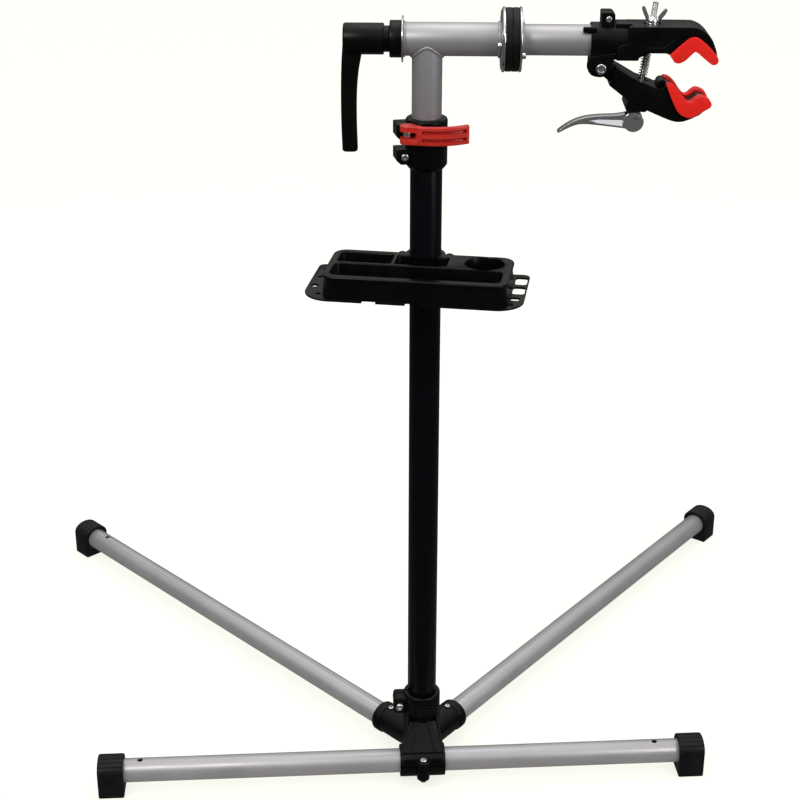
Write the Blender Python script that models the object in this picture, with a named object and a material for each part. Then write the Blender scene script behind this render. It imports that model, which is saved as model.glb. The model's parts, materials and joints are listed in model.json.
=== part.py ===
"""Bike repair stand: low three-way base, telescopic mast, rotating clamp arm and a tool tray.

Every separate piece of the real stand is one named object. Units are metres and +Z is up.
The world origin lies on the floor in the middle of the footprint, +X runs along the front
cross tube and +Y points to the rear legs. Empties carry the local frames and the joint axes.
"""

from math import atan2, cos, degrees, hypot, pi, radians, sin

import bmesh
import bpy
from mathutils import Matrix, Vector

# ---------------------------------------------------------------- driving dimensions
GAP = 0.0003                    # clearance between two pieces that touch
MAST_X, MAST_Y = -0.00538, -0.25600  # mast axis, seen from the middle of the footprint

LEG_RADIUS = 0.0159
LEG_WALL = 0.0015
LEG_HEIGHT = 0.030              # height of every leg tube's axis
CROSS_Y = -0.0465               # front cross tube, ahead of the mast axis
CROSS_LEFT, CROSS_RIGHT = -0.4335, 0.3776
BLOCK_X = -0.0025               # middle of the hub block on the cross tube
REAR_LEFT, REAR_RIGHT = radians(40.03), radians(41.05)    # rear legs, from straight back
REAR_REACH = 0.8133             # mast axis to the outer end of a rear foot
REAR_TUBE_START = 0.036
REAR_SOCKET_MOUTH = 0.078
REAR_SCREW = 0.0603             # mast axis to a rear leg screw

FOOT_LENGTH, FOOT_WIDTH, FOOT_HEIGHT = 0.034, 0.042, 0.0515
FOOT_SHOULDER = 0.0365          # height where the arched top of a foot begins
FOOT_END_WALL = 0.0048
HOLE_LEFT, HOLE_RIGHT, HOLE_REAR = 0.0506, 0.0607, 0.0624  # from the end of the tube

HUB_TOP = 0.110
HUB_RADIUS = 0.0245
BLOCK_RADIUS = 0.0215
BOSS_Y = -0.0695                # vertical clamp screw in front of the cross tube
BOSS_RADIUS = 0.0084
BOSS_LOW, BOSS_HIGH = 0.0165, 0.0438
SPLIT_Z = 0.0330

POST_RADIUS, POST_BORE = 0.0190, 0.0178
POST_BOTTOM, POST_TOP = 0.0470, 0.8680
MAST_RADIUS, MAST_BORE = 0.0175, 0.0160
MAST_BOTTOM = 0.3000

COLLAR_YAW = radians(8.0)
COLLAR_Z = 0.8838               # height of the quick-release lever
COLLAR_LOW, COLLAR_HIGH = 0.8366, 0.8972
COLLAR_RADIUS = 0.0246
EAR_SLOT = 0.0024
SKEWER_X, PIN_Y = -0.0275, -0.0220
COLLAR_SCREW_Z = 0.8545

TRAY_YAW = radians(-12.5)
TRAY_RIM = 0.7320
TRAY_DEPTH = 0.0300             # rim down to the underside of the flange
TRAY_HALF_X = 0.1065
TRAY_FRONT, TRAY_BACK = -0.1015, -0.0045
FLANGE_LEFT, FLANGE_RIGHT = -0.1320, 0.1255
FLANGE_FRONT, FLANGE_BACK = -0.1050, 0.0165
TRAY_WALL = 0.0028
SLEEVE_RADIUS = 0.0218          # tray wall round the front of the post
CUP_X, CUP_Y, CUP_RADIUS = 0.0743, -0.0278, 0.0232
TRAY_SCREW_X, TRAY_SCREW_DROP = 0.0285, 0.0095

ARM_YAW = radians(-5.0)
ARM_Z = 0.9870
TEE_LEFT, TEE_RIGHT = -0.0270, 0.0827
TEE_RADIUS, TEE_BORE = 0.0190, 0.0172
ROD_RADIUS = 0.0040
DISC_RADIUS, FLANGE_RADIUS = 0.0358, 0.0365
ARM_RADIUS, ARM_BORE = 0.0175, 0.0158
ARM_START, ARM_END = 0.1072, 0.2320
FLANGE_SCREW_CIRCLE = 0.0278

JAW_PIVOT = (0.1959, -0.0275)   # along the arm, and up from the arm axis
JAW_HALF = 0.0225
LUG_INNER, LUG_OUTER = 0.0168, 0.0232
PAD_HALF = 0.0260
INSERT_HALF = 0.0125            # black strip between the two red cheeks of a pad
PAD_WEB, INSERT_SINK = 0.0018, 0.0025
SEAT = (0.2530, 0.0195)         # where the draw rod leaves the upper jaw
BEAD, BEAD_RADIUS = (0.2672, -0.0478), 0.0056   # rolled end of the lower jaw's strip
CAM_PIN = (0.2403, -0.0870)
DRAW_RADIUS = 0.0034
ROD_TILT = atan2(SEAT[0] - CAM_PIN[0], SEAT[1] - CAM_PIN[1])
ROD_LENGTH = hypot(SEAT[0] - CAM_PIN[0], SEAT[1] - CAM_PIN[1])
CAM_CENTRE = (-0.0025, -0.0052)  # hub centre, from the cam pin
CAM_RADIUS = 0.0118

MATERIALS = {                   # colour, roughness, metallic
    "silver_tube": ((0.53, 0.52, 0.53), 0.38, 0.75),
    "black_tube": ((0.012, 0.012, 0.015), 0.30, 0.25),
    "black_plastic": ((0.010, 0.010, 0.011), 0.48, 0.0),
    "tray_plastic": ((0.012, 0.012, 0.013), 0.40, 0.0),
    "foot_rubber": ((0.014, 0.014, 0.014), 0.72, 0.0),
    "red_plastic": ((0.66, 0.035, 0.025), 0.35, 0.0),
    "red_rubber": ((0.80, 0.040, 0.020), 0.45, 0.0),
    "friction_liner": ((0.020, 0.020, 0.021), 0.65, 0.0),
    "zinc": ((0.62, 0.62, 0.63), 0.30, 1.0),
    "chrome": ((0.78, 0.78, 0.79), 0.12, 1.0),
    "spring_steel": ((0.40, 0.40, 0.42), 0.30, 1.0),
}


# ---------------------------------------------------------------- scene and frames
def clear_scene():
    for obj in list(bpy.data.objects):
        bpy.data.objects.remove(obj, do_unlink=True)


def principled(name):
    colour, roughness, metallic = MATERIALS[name]
    material = bpy.data.materials.get(name)
    if material is None:
        material = bpy.data.materials.new(name)
        material.use_nodes = True
        shader = material.node_tree.nodes["Principled BSDF"]
        shader.inputs["Base Color"].default_value = (*colour, 1.0)
        shader.inputs["Roughness"].default_value = roughness
        shader.inputs["Metallic"].default_value = metallic
    return material


def frame(name, parent=None, location=(0.0, 0.0, 0.0), rotation=(0.0, 0.0, 0.0)):
    """An empty that other pieces are parented to."""
    empty = bpy.data.objects.new(name, None)
    empty.empty_display_size = 0.02
    bpy.context.scene.collection.objects.link(empty)
    empty.parent = parent
    empty.location = location
    empty.rotation_euler = rotation
    return empty


def place(name, shape, material, parent, location=(0.0, 0.0, 0.0), rotation=(0.0, 0.0, 0.0),
          sharp=38.0):
    """Turn a finished bmesh into one named object with its own material."""
    mesh = bpy.data.meshes.new(name)
    shape.to_mesh(mesh)
    shape.free()
    mesh.materials.append(principled(material))
    mesh.shade_smooth()
    mesh.set_sharp_from_angle(angle=radians(sharp))
    obj = bpy.data.objects.new(name, mesh)
    bpy.context.scene.collection.objects.link(obj)
    obj.parent = parent
    obj.location = location
    obj.rotation_euler = rotation
    return obj


# ---------------------------------------------------------------- shapes, as bmesh data
def moved(shape, matrix):
    bmesh.ops.transform(shape, matrix=matrix, verts=shape.verts)
    return shape


def along_x(shape):
    """Lay a shape that was turned about Z along +X."""
    return moved(shape, Matrix.Rotation(pi / 2, 4, "Y"))


def box(low, high):
    shape = bmesh.new()
    bmesh.ops.create_cube(shape, size=1.0)
    for vert in shape.verts:
        for axis in range(3):
            vert.co[axis] = low[axis] if vert.co[axis] < 0 else high[axis]
    return shape


def rod(start, end, radius, segments=24):
    """A solid cylinder from one point to another."""
    start, end = Vector(start), Vector(end)
    turn = (end - start).to_track_quat("Z", "Y").to_matrix().to_4x4()
    matrix = Matrix.Translation((start + end) / 2) @ turn
    shape = bmesh.new()
    bmesh.ops.create_cone(shape, cap_ends=True, segments=segments, radius1=radius,
                          radius2=radius, depth=(end - start).length, matrix=matrix)
    return shape


def turned(profile, segments=28):
    """Spin (radius, height) points about Z; a profile that never meets the axis is a ring."""
    shape = bmesh.new()
    verts = [shape.verts.new((radius, 0.0, height)) for radius, height in profile]
    pairs = list(zip(verts, verts[1:]))
    if profile[0][0] > 0 and profile[-1][0] > 0:
        pairs.append((verts[-1], verts[0]))
    edges = [shape.edges.new(pair) for pair in pairs]
    bmesh.ops.spin(shape, geom=verts + edges, cent=(0, 0, 0), axis=(0, 0, 1),
                   angle=2 * pi, steps=segments, use_merge=False)
    bmesh.ops.remove_doubles(shape, verts=shape.verts, dist=0.00001)
    bmesh.ops.recalc_face_normals(shape, faces=shape.faces)
    return shape


def pipe(outer, inner, length, segments=28):
    return turned([(outer, 0.0), (outer, length), (inner, length), (inner, 0.0)], segments)


def plate(outline, low, high):
    """Extrude an (x, y) outline from one height to another."""
    shape = bmesh.new()
    face = shape.faces.new([shape.verts.new((x, y, low)) for x, y in outline])
    grown = bmesh.ops.extrude_face_region(shape, geom=[face])
    top = [item for item in grown["geom"] if isinstance(item, bmesh.types.BMVert)]
    bmesh.ops.translate(shape, vec=(0, 0, high - low), verts=top)
    bmesh.ops.recalc_face_normals(shape, faces=shape.faces)
    return shape


def profile_plate(outline, half_width):
    """Extrude an (along, up) side outline to both sides of the middle plane."""
    shape = plate(outline, -half_width, half_width)
    return moved(shape, Matrix.Rotation(pi / 2, 4, "X"))


def hull(points):
    shape = bmesh.new()
    verts = [shape.verts.new(point) for point in points]
    result = bmesh.ops.convex_hull(shape, input=verts)
    spare = set(result["geom_interior"] + result["geom_unused"])
    bmesh.ops.delete(shape, geom=[item for item in spare if isinstance(item, bmesh.types.BMVert)],
                     context="VERTS")
    bmesh.ops.recalc_face_normals(shape, faces=shape.faces)
    return shape


def softened(shape, width, segments=1, angle=35.0):
    """Bevel every edge sharper than the angle."""
    bmesh.ops.recalc_face_normals(shape, faces=shape.faces)
    edges = [edge for edge in shape.edges
             if len(edge.link_faces) == 2 and degrees(edge.calc_face_angle(0.0)) > angle]
    bmesh.ops.bevel(shape, geom=edges, offset=width, offset_type="OFFSET", segments=segments,
                    profile=0.5, affect="EDGES", clamp_overlap=True)
    return shape


def temporary(shape, name):
    mesh = bpy.data.meshes.new(name)
    shape.to_mesh(mesh)
    shape.free()
    obj = bpy.data.objects.new(name, mesh)
    bpy.context.scene.collection.objects.link(obj)
    return obj


def combine(shape, tools, operation, solver="EXACT"):
    """Join the tools to a shape (UNION) or cut them out of it (DIFFERENCE)."""
    for tool in tools:
        target = temporary(shape, "boolean_target")
        helper = temporary(tool, "boolean_tool")
        modifier = target.modifiers.new("boolean", "BOOLEAN")
        modifier.operation = operation
        modifier.solver = solver
        modifier.object = helper
        evaluated = target.evaluated_get(bpy.context.evaluated_depsgraph_get())
        shape = bmesh.new()
        shape.from_mesh(evaluated.to_mesh())
        evaluated.to_mesh_clear()
        for obj in (target, helper):
            mesh = obj.data
            bpy.data.objects.remove(obj, do_unlink=True)
            bpy.data.meshes.remove(mesh)
        bmesh.ops.remove_doubles(shape, verts=shape.verts, dist=0.000001)
    return shape


def joined(shape, *tools):
    return combine(shape, tools, "UNION")


def cut(shape, *tools, solver="EXACT"):
    return combine(shape, tools, "DIFFERENCE", solver)


def arc(centre, radius, start, end, count):
    """Points along an arc; angles in degrees."""
    steps = [radians(start + (end - start) * i / (count - 1)) for i in range(count)]
    return [(centre[0] + radius * cos(a), centre[1] + radius * sin(a)) for a in steps]


def rounded_rectangle(low, high, radius, count=4):
    corners = [((low[0] + radius, low[1] + radius), 180), ((high[0] - radius, low[1] + radius), 270),
               ((high[0] - radius, high[1] - radius), 0), ((low[0] + radius, high[1] - radius), 90)]
    points = []
    for centre, start in corners:
        points += arc(centre, radius, start, start + 90, count)
    return points


# ---------------------------------------------------------------- fasteners
def screw_shape(head_radius, head_height, shaft_radius, length, segments=10):
    """A socket-head screw along Z: the head stands above 0, the shaft runs below it."""
    recess = head_radius * 0.52
    edge = head_height * 0.22
    return turned([(0.0, head_height * 0.45), (recess, head_height * 0.45), (recess, head_height),
                   (head_radius - edge, head_height), (head_radius, head_height - edge),
                   (head_radius, 0.0), (shaft_radius, 0.0), (shaft_radius, -length + 0.0005),
                   (shaft_radius - 0.0005, -length), (0.0, -length)], segments)


def nut_shape(across, height, hole):
    """A hexagon nut standing on 0 along Z."""
    hexagon = arc((0, 0), across / 2 / cos(pi / 6), 0, 300, 6)
    return cut(plate(hexagon, 0.0, height), rod((0, 0, -0.001), (0, 0, height + 0.001), hole, 10))


FACE_FRONT = (pi / 2, 0.0, 0.0)        # local +Z points to -Y
FACE_BACK = (-pi / 2, 0.0, 0.0)        # local +Z points to +Y
FACE_RIGHT = (0.0, pi / 2, 0.0)        # local +Z points to +X
FACE_LEFT = (0.0, -pi / 2, 0.0)        # local +Z points to -X
FACE_DOWN = (pi, 0.0, 0.0)
FOOT_TURN = Matrix(((0, 0, 1, 0), (1, 0, 0, 0), (0, 1, 0, 0), (0, 0, 0, 1)))   # x, y, z to y, z, x


# ---------------------------------------------------------------- base
def rear_heading(side):
    """Direction of a rear leg, outwards; side is -1 for left and +1 for right."""
    return pi / 2 + REAR_LEFT if side < 0 else pi / 2 - REAR_RIGHT


def rear_point(side, distance, height):
    heading = rear_heading(side)
    return (distance * cos(heading), distance * sin(heading), height)


def make_hub(stand):
    column = rod((0, 0, 0.012), (0, 0, HUB_TOP), HUB_RADIUS, 30)
    slope = hull([(sx * 0.0200, y, z) for sx in (-1, 1) for y, z in ((-0.010, 0.074), (-0.0225, 0.074))]
                 + [(BLOCK_X + sx * 0.0290, -0.0590, 0.0500) for sx in (-1, 1)]
                 + [(BLOCK_X + sx * 0.0290, y, 0.0120) for sx in (-1, 1) for y in (-0.0590, -0.010)])
    block = rod((BLOCK_X - 0.030, CROSS_Y, LEG_HEIGHT), (BLOCK_X + 0.030, CROSS_Y, LEG_HEIGHT),
                BLOCK_RADIUS, 26)
    boss = rod((BLOCK_X, BOSS_Y, BOSS_LOW), (BLOCK_X, BOSS_Y, BOSS_HIGH), BOSS_RADIUS, 20)
    boss_web = box((BLOCK_X - BOSS_RADIUS, BOSS_Y, BOSS_LOW + 0.0005),
                   (BLOCK_X + BOSS_RADIUS, -0.0550, BOSS_HIGH - 0.0005))
    ear = softened(box((-0.0385, -0.0125, 0.0800), (-0.0150, 0.0125, 0.1060)), 0.0040, 2)
    ribs = [hull([(x_top, -0.0222, 0.0760), (x_top + 0.0015, -0.0222, 0.0760),
                  (x_low, -0.0575, 0.0535), (x_low + 0.0015, -0.0575, 0.0535),
                  (x_top, -0.0200, 0.0660), (x_top + 0.0015, -0.0200, 0.0660),
                  (x_low, -0.0560, 0.0460), (x_low + 0.0015, -0.0560, 0.0460)])
            for x_top, x_low in ((-0.0080, -0.0190), (0.0050, 0.0130))]
    sockets = []
    for side in (-1, 1):
        sockets.append(rod(rear_point(side, 0.004, LEG_HEIGHT),
                           rear_point(side, REAR_SOCKET_MOUTH - 0.012, LEG_HEIGHT), 0.0196, 22))
        sockets.append(rod(rear_point(side, REAR_SOCKET_MOUTH - 0.013, LEG_HEIGHT),
                           rear_point(side, REAR_SOCKET_MOUTH, LEG_HEIGHT), 0.0210, 22))
    shape = joined(column, slope, block, boss, boss_web, ear, *sockets, *ribs)
    clear = LEG_RADIUS + GAP
    cuts = [rod((0, 0, POST_BOTTOM - GAP), (0, 0, 0.120), POST_RADIUS + GAP, 30),
            rod((-0.060, CROSS_Y, LEG_HEIGHT), (0.060, CROSS_Y, LEG_HEIGHT), clear, 24),
            box((-0.045, -EAR_SLOT / 2, 0.0620), (-0.010, EAR_SLOT / 2, 0.120)),
            rod((-0.0305, -0.020, 0.0935), (-0.0305, 0.020, 0.0935), 0.0031, 14),
            box((-0.045, -0.085, SPLIT_Z - 0.0007), (0.045, CROSS_Y, SPLIT_Z + 0.0007)),
            rod((BLOCK_X, BOSS_Y, 0.010), (BLOCK_X, BOSS_Y, 0.055), 0.0029, 14)]
    for side in (-1, 1):
        cuts.append(rod(rear_point(side, REAR_TUBE_START - GAP, LEG_HEIGHT),
                        rear_point(side, 0.110, LEG_HEIGHT), clear, 24))
        cuts.append(rod(rear_point(side, REAR_SCREW, LEG_HEIGHT), rear_point(side, REAR_SCREW, 0.060),
                        0.0024, 12))
    return place("base_hub", cut(shape, *cuts), "black_plastic", stand)


def make_foot_shape():
    """A rubber foot along +X: its outer end at 0 and the tube's mouth at FOOT_LENGTH."""
    half, rise = FOOT_WIDTH / 2, FOOT_HEIGHT - FOOT_SHOULDER
    arch = [(half * cos(a), FOOT_SHOULDER + rise * sin(a)) for a in (pi * i / 10 for i in range(11))]
    section = [(-half, 0.0), (half, 0.0)] + arch
    shape = moved(plate(section, 0.0, FOOT_LENGTH), FOOT_TURN)
    shape = softened(shape, 0.0020, 2, 60.0)
    grooves = []
    for degree in (18, 40, 61, 80, 100, 119, 140, 162):
        y, z = half * cos(radians(degree)), FOOT_SHOULDER + rise * sin(radians(degree))
        grooves.append(rod((-0.001, y, z), (0.040, y, z), 0.0010, 6))
    bore = rod((FOOT_END_WALL, 0, LEG_HEIGHT), (0.050, 0, LEG_HEIGHT), LEG_RADIUS + GAP, 24)
    return cut(shape, bore, *grooves)


def make_legs(stand):
    """The cross tube, the two rear tubes, their feet and the screws that hold the rear tubes."""
    inset = FOOT_END_WALL + GAP
    length = CROSS_RIGHT - CROSS_LEFT - 2 * inset
    shape = along_x(pipe(LEG_RADIUS, LEG_RADIUS - LEG_WALL, length))
    holes = [rod((x, 0, 0.005), (x, 0, 0.025), 0.0038, 14) for x in (HOLE_LEFT, length - HOLE_RIGHT)]
    place("front_cross_tube", cut(shape, *holes), "silver_tube", stand,
          (CROSS_LEFT + inset, CROSS_Y, LEG_HEIGHT))
    place("front_left_foot", make_foot_shape(), "foot_rubber", stand, (CROSS_LEFT, CROSS_Y, 0.0))
    place("front_right_foot", make_foot_shape(), "foot_rubber", stand, (CROSS_RIGHT, CROSS_Y, 0.0),
          (0, 0, pi))
    for side, name in ((-1, "rear_left"), (1, "rear_right")):
        heading = rear_heading(side)
        length = REAR_REACH - inset - REAR_TUBE_START
        shape = along_x(pipe(LEG_RADIUS, LEG_RADIUS - LEG_WALL, length))
        screw_at = REAR_SCREW - REAR_TUBE_START
        holes = [rod((screw_at, 0, 0.005), (screw_at, 0, 0.025), 0.0024, 12)]
        if side < 0:                                  # only the left tube shows an end hole
            holes.append(rod((length - HOLE_REAR, 0, 0.005), (length - HOLE_REAR, 0, 0.025), 0.0038, 14))
        place(name + "_leg_tube", cut(shape, *holes), "silver_tube", stand,
              rear_point(side, REAR_TUBE_START, LEG_HEIGHT), (0, 0, heading))
        place(name + "_foot", make_foot_shape(), "foot_rubber", stand,
              rear_point(side, REAR_REACH, 0.0), (0, 0, heading + pi))
        place(name + "_leg_screw", screw_shape(0.0038, 0.0022, 0.0020, 0.0095), "zinc", stand,
              rear_point(side, REAR_SCREW, LEG_HEIGHT + 0.0196 + GAP))


def make_hub_fasteners(stand):
    front = -0.0125 - GAP
    place("hub_clamp_bolt", screw_shape(0.0055, 0.0050, 0.0028, 0.0320), "zinc", stand,
          (-0.0305, front, 0.0935), FACE_FRONT)
    place("hub_clamp_nut", nut_shape(0.0095, 0.0045, 0.0031), "zinc", stand,
          (-0.0305, -front, 0.0935), FACE_BACK)
    place("cross_tube_bolt", screw_shape(0.0050, 0.0032, 0.0026, 0.0335), "zinc", stand,
          (BLOCK_X, BOSS_Y, BOSS_HIGH + GAP))
    place("cross_tube_nut", nut_shape(0.0085, 0.0040, 0.0029), "zinc", stand,
          (BLOCK_X, BOSS_Y, BOSS_LOW - GAP), FACE_DOWN)


def make_post(stand):
    length = POST_TOP - POST_BOTTOM
    place("outer_post", pipe(POST_RADIUS, POST_BORE, length, 36), "black_tube", stand,
          (0, 0, POST_BOTTOM))


# ---------------------------------------------------------------- mast collar and its lever
def make_collar(collar):
    """The split collar; its frame sits on the mast axis at the height of the lever."""
    low, high = COLLAR_LOW - COLLAR_Z, COLLAR_HIGH - COLLAR_Z
    step = POST_TOP + GAP - COLLAR_Z
    body = turned([(POST_RADIUS + GAP, low), (COLLAR_RADIUS - 0.0045, low),
                   (COLLAR_RADIUS, low + 0.0055), (COLLAR_RADIUS, high - 0.0040),
                   (COLLAR_RADIUS - 0.0012, high - 0.0012), (COLLAR_RADIUS - 0.0035, high),
                   (MAST_RADIUS + GAP, high), (MAST_RADIUS + GAP, step),
                   (POST_RADIUS + GAP, step)], 36)
    screw_z = COLLAR_SCREW_Z - COLLAR_Z
    lower = profile_plate([(-0.0376, screw_z - 0.0050), (-0.0325, screw_z - 0.0098),
                           (-0.0200, screw_z - 0.0098), (-0.0200, screw_z + 0.0080),
                           (-0.0376, screw_z + 0.0080)], 0.0125)
    upper = profile_plate([(-0.0376, -0.0060), (-0.0318, -0.0108), (-0.0200, -0.0108),
                           (-0.0200, 0.0090), (-0.0376, 0.0090)], 0.0125)
    shape = joined(body, softened(lower, 0.0008), softened(upper, 0.0008))
    shape = cut(shape, box((-0.045, -EAR_SLOT / 2, low - 0.002), (-0.010, EAR_SLOT / 2, high + 0.002)),
                rod((-0.0285, -0.02, screw_z), (-0.0285, 0.02, screw_z), 0.0028, 14),
                rod((SKEWER_X, -0.02, 0), (SKEWER_X, 0.02, 0), 0.0028, 14))
    place("mast_collar", shape, "black_plastic", collar)
    front = -0.0125 - GAP
    place("collar_screw", screw_shape(0.0047, 0.0045, 0.0025, 0.0305), "zinc", collar,
          (-0.0285, front, screw_z), FACE_FRONT)
    place("collar_nut", nut_shape(0.0080, 0.0040, 0.0028), "zinc", collar,
          (-0.0285, -front, screw_z), FACE_BACK)
    skewer = joined(rod((0, 0, -0.0300), (0, 0, 0.0050), 0.0025, 14),
                    rod((0, -0.0031, 0.0092), (0, 0.0031, 0.0092), 0.0050, 18))
    skewer = cut(skewer, rod((0, -0.01, 0.0092), (0, 0.01, 0.0092), 0.0024 + GAP, 14))
    place("qr_skewer", skewer, "zinc", collar, (SKEWER_X, front, 0), FACE_FRONT)
    place("qr_skewer_nut", nut_shape(0.0080, 0.0045, 0.0028), "zinc", collar,
          (SKEWER_X, -front, 0), FACE_BACK)


def make_quick_release(axis):
    """The red lever; its frame is the vertical pin it turns on."""
    reach = (0.0146 - SKEWER_X, 0.0238 - PIN_Y)       # centre of the lever's curve, from the pin
    outer = arc(reach, 0.0671, 238.0, 294.1, 14)
    inner = arc(reach, 0.0612, 293.8, 240.0, 14)
    band = plate(outer + inner, -0.0110, 0.0110)
    head = rod((0, 0, -0.0110), (0, 0, 0.0110), 0.0086, 24)
    throat = hull([(x, y, z) for x, y in ((-0.0040, -0.0075), (0.0040, 0.0060), (0.0150, -0.0060),
                                          (0.0120, -0.0138)) for z in (-0.0110, 0.0110)])
    shape = softened(joined(head, throat, band), 0.0012, 1, 50.0)
    slot = box((-0.0200, -0.0200, -0.0040), (0.0085, 0.0200, 0.0040))
    grooves = []
    for z in (-0.0046, 0.0046):
        groove = arc(reach, 0.0685, 249.0, 291.0, 10) + arc(reach, 0.0643, 291.0, 249.0, 10)
        grooves.append(plate(groove, z - 0.0021, z + 0.0021))
    pin_hole = rod((0, 0, -0.02), (0, 0, 0.02), 0.0020 + GAP, 14)
    place("qr_lever", cut(shape, slot, pin_hole, *grooves), "red_plastic", axis)
    place("qr_pivot_pin", rod((0, 0, -0.0104), (0, 0, 0.0104), 0.0020, 14), "zinc", axis)


# ---------------------------------------------------------------- tool tray
def tray_flange_outline():
    """From the back right corner round the front to the back left corner."""
    wide, tight = 0.0320, 0.0080                      # corner radii
    points = [(0.0980, FLANGE_BACK - 0.0005)]
    points += arc((FLANGE_RIGHT - tight, FLANGE_BACK - tight), tight, 90, 0, 4)
    points += arc((FLANGE_RIGHT - wide, FLANGE_FRONT + wide), wide, 0, -90, 7)
    points += arc((FLANGE_LEFT + wide, FLANGE_FRONT + wide), wide, -90, -180, 7)
    points += arc((FLANGE_LEFT + tight, FLANGE_BACK - tight), tight, 180, 90, 4)
    return points + [(-0.0980, FLANGE_BACK - 0.0005)]


def make_tray(tray):
    """The tray in its own frame: origin on the post axis, at the height of the rim."""
    floor, skin = -TRAY_DEPTH, -TRAY_DEPTH + 0.0026
    wall = TRAY_WALL
    body = plate(rounded_rectangle((-TRAY_HALF_X, TRAY_FRONT), (TRAY_HALF_X, TRAY_BACK), 0.014, 5),
                 floor, 0.0)
    top_edges = [edge for edge in body.edges if all(abs(vert.co.z) < 1e-6 for vert in edge.verts)]
    bmesh.ops.bevel(body, geom=top_edges, offset=0.0022, segments=2, profile=0.5, affect="EDGES")
    flange = plate(tray_flange_outline(), floor, skin)
    saddle = rod((0, 0, floor), (0, 0, -0.0005), SLEEVE_RADIUS, 36)
    ears = box((-0.0360, -0.0100, -0.0170), (0.0360, 0.0, -0.0020))
    shape = joined(body, flange, saddle, ears)
    pockets = [
        ((-0.1016, -0.0940), (0.0998, -0.0498), 0.008),
        ((-0.1005, -0.0470), (-0.0345, -0.0095), 0.005),
        ((-0.0318, -0.0470), (0.0318, -0.0125), 0.004)]
    cuts = [plate(rounded_rectangle(low, high, radius), skin, 0.010) for low, high, radius in pockets]
    cuts[2] = cut(cuts[2], rod((0, 0, floor), (0, 0, 0.020), SLEEVE_RADIUS, 36))
    cuts.append(rod((CUP_X, CUP_Y, skin), (CUP_X, CUP_Y, 0.010), CUP_RADIUS, 28))
    below = plate(rounded_rectangle((0.0352, -0.0485), (TRAY_HALF_X - wall, TRAY_BACK - wall), 0.006),
                  floor - 0.005, -wall)
    cup_wall = rod((CUP_X, CUP_Y, floor - 0.010), (CUP_X, CUP_Y, 0.0), CUP_RADIUS + wall, 28)
    cuts.append(cut(below, cup_wall))
    cuts.append(rod((0, 0, floor - 0.005), (0, 0, 0.010), POST_RADIUS + 0.0004, 32))
    cuts.append(box((-0.050, -GAP, floor - 0.005), (0.050, 0.060, 0.010)))
    slots = [((0.1092, -0.0195), (0.1236, 0.0060), 0.004),
             ((0.1089, -0.0518), (0.1236, -0.0275), 0.004),
             ((0.1092, -0.0735), (0.1196, -0.0630), 0.003)]
    cuts += [plate(rounded_rectangle(low, high, radius), floor - 0.005, skin + 0.005)
             for low, high, radius in slots]
    for x, y, radius in ((-0.1240, 0.0000, 0.0022), (-0.1230, -0.0290, 0.0032),
                         (-0.1235, -0.0592, 0.0046), (-0.1140, -0.0862, 0.0034),
                         (0.1118, -0.0880, 0.0030)):
        cuts.append(rod((x, y, floor - 0.005), (x, y, skin + 0.005), radius, 14))
    for left, right in ((-0.0600, -0.0435), (-0.0095, 0.0065)):
        cuts.append(box((left, -0.1200, floor - 0.005), (right, -0.0975, floor + 0.0050)))
    for side in (-1, 1):
        x = side * TRAY_SCREW_X
        cuts.append(rod((x, -0.0085, -TRAY_SCREW_DROP), (x, 0.010, -TRAY_SCREW_DROP), 0.0026, 14))
    place("tool_tray", cut(shape, *cuts), "tray_plastic", tray)


def make_tray_clamp(tray):
    """The half shell behind the post, screwed to the tray."""
    top, bottom = -0.0010, -TRAY_DEPTH
    shell = rod((0, 0, bottom), (0, 0, top), POST_RADIUS + 0.0052, 28)
    reach, drop = TRAY_SCREW_X, TRAY_SCREW_DROP
    ears = [rod((side * reach, 0.0, -drop), (side * reach, 0.0080, -drop), 0.0075, 20)
            for side in (-1, 1)]
    bridge = box((-reach, 0.0, -drop - 0.0060), (reach, 0.0065, -drop + 0.0060))
    shape = joined(shell, bridge, *ears)
    cuts = [rod((0, 0, bottom - 0.005), (0, 0, top + 0.005), POST_RADIUS + 0.0004, 32),
            box((-0.060, -0.060, bottom - 0.005), (0.060, GAP, top + 0.010))]
    for side in (-1, 1):
        cuts.append(rod((side * reach, -0.005, -drop), (side * reach, 0.020, -drop), 0.0026, 14))
    place("tray_clamp", cut(shape, *cuts), "tray_plastic", tray)
    for side, name in ((-1, "tray_clamp_screw_left"), (1, "tray_clamp_screw_right")):
        place(name, screw_shape(0.0048, 0.0046, 0.0023, 0.0145), "zinc", tray,
              (side * reach, 0.0080 + GAP, -drop), FACE_BACK)


# ---------------------------------------------------------------- mast and tee
def make_mast(arm):
    """The sliding mast, coped to the tee that it carries."""
    bottom = MAST_BOTTOM - ARM_Z
    tube = pipe(MAST_RADIUS, MAST_BORE, -bottom - 0.004, 32)
    moved(tube, Matrix.Translation((0, 0, bottom)))
    cope = rod((-0.05, 0, 0), (0.05, 0, 0), TEE_RADIUS + GAP, 32)
    place("mast_tube", cut(tube, cope), "silver_tube", arm)
    place("tee_tube", along_x(pipe(TEE_RADIUS, TEE_BORE, TEE_RIGHT - TEE_LEFT, 32)), "silver_tube",
          arm, (TEE_LEFT, 0, 0))
    end = turned([(0.0155, 0.0), (0.0262, 0.0), (0.0262, 0.0014), (0.0250, 0.0018), (0.0155, 0.0018)], 28)
    place("tee_end_flange", along_x(end), "zinc", arm, (TEE_LEFT - GAP - 0.0018, 0, 0))
    head = 0.0135
    bush = turned([(ROD_RADIUS + GAP, 0.0), (0.0202, 0.0), (0.0210, 0.0008), (0.0210, head),
                   (0.0150, head), (0.0150, 0.0320), (ROD_RADIUS + GAP, 0.0320)], 32)
    place("tee_end_bush", along_x(bush), "black_plastic", arm,
          (TEE_LEFT - 2 * GAP - 0.0018 - head, 0, 0))


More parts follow.
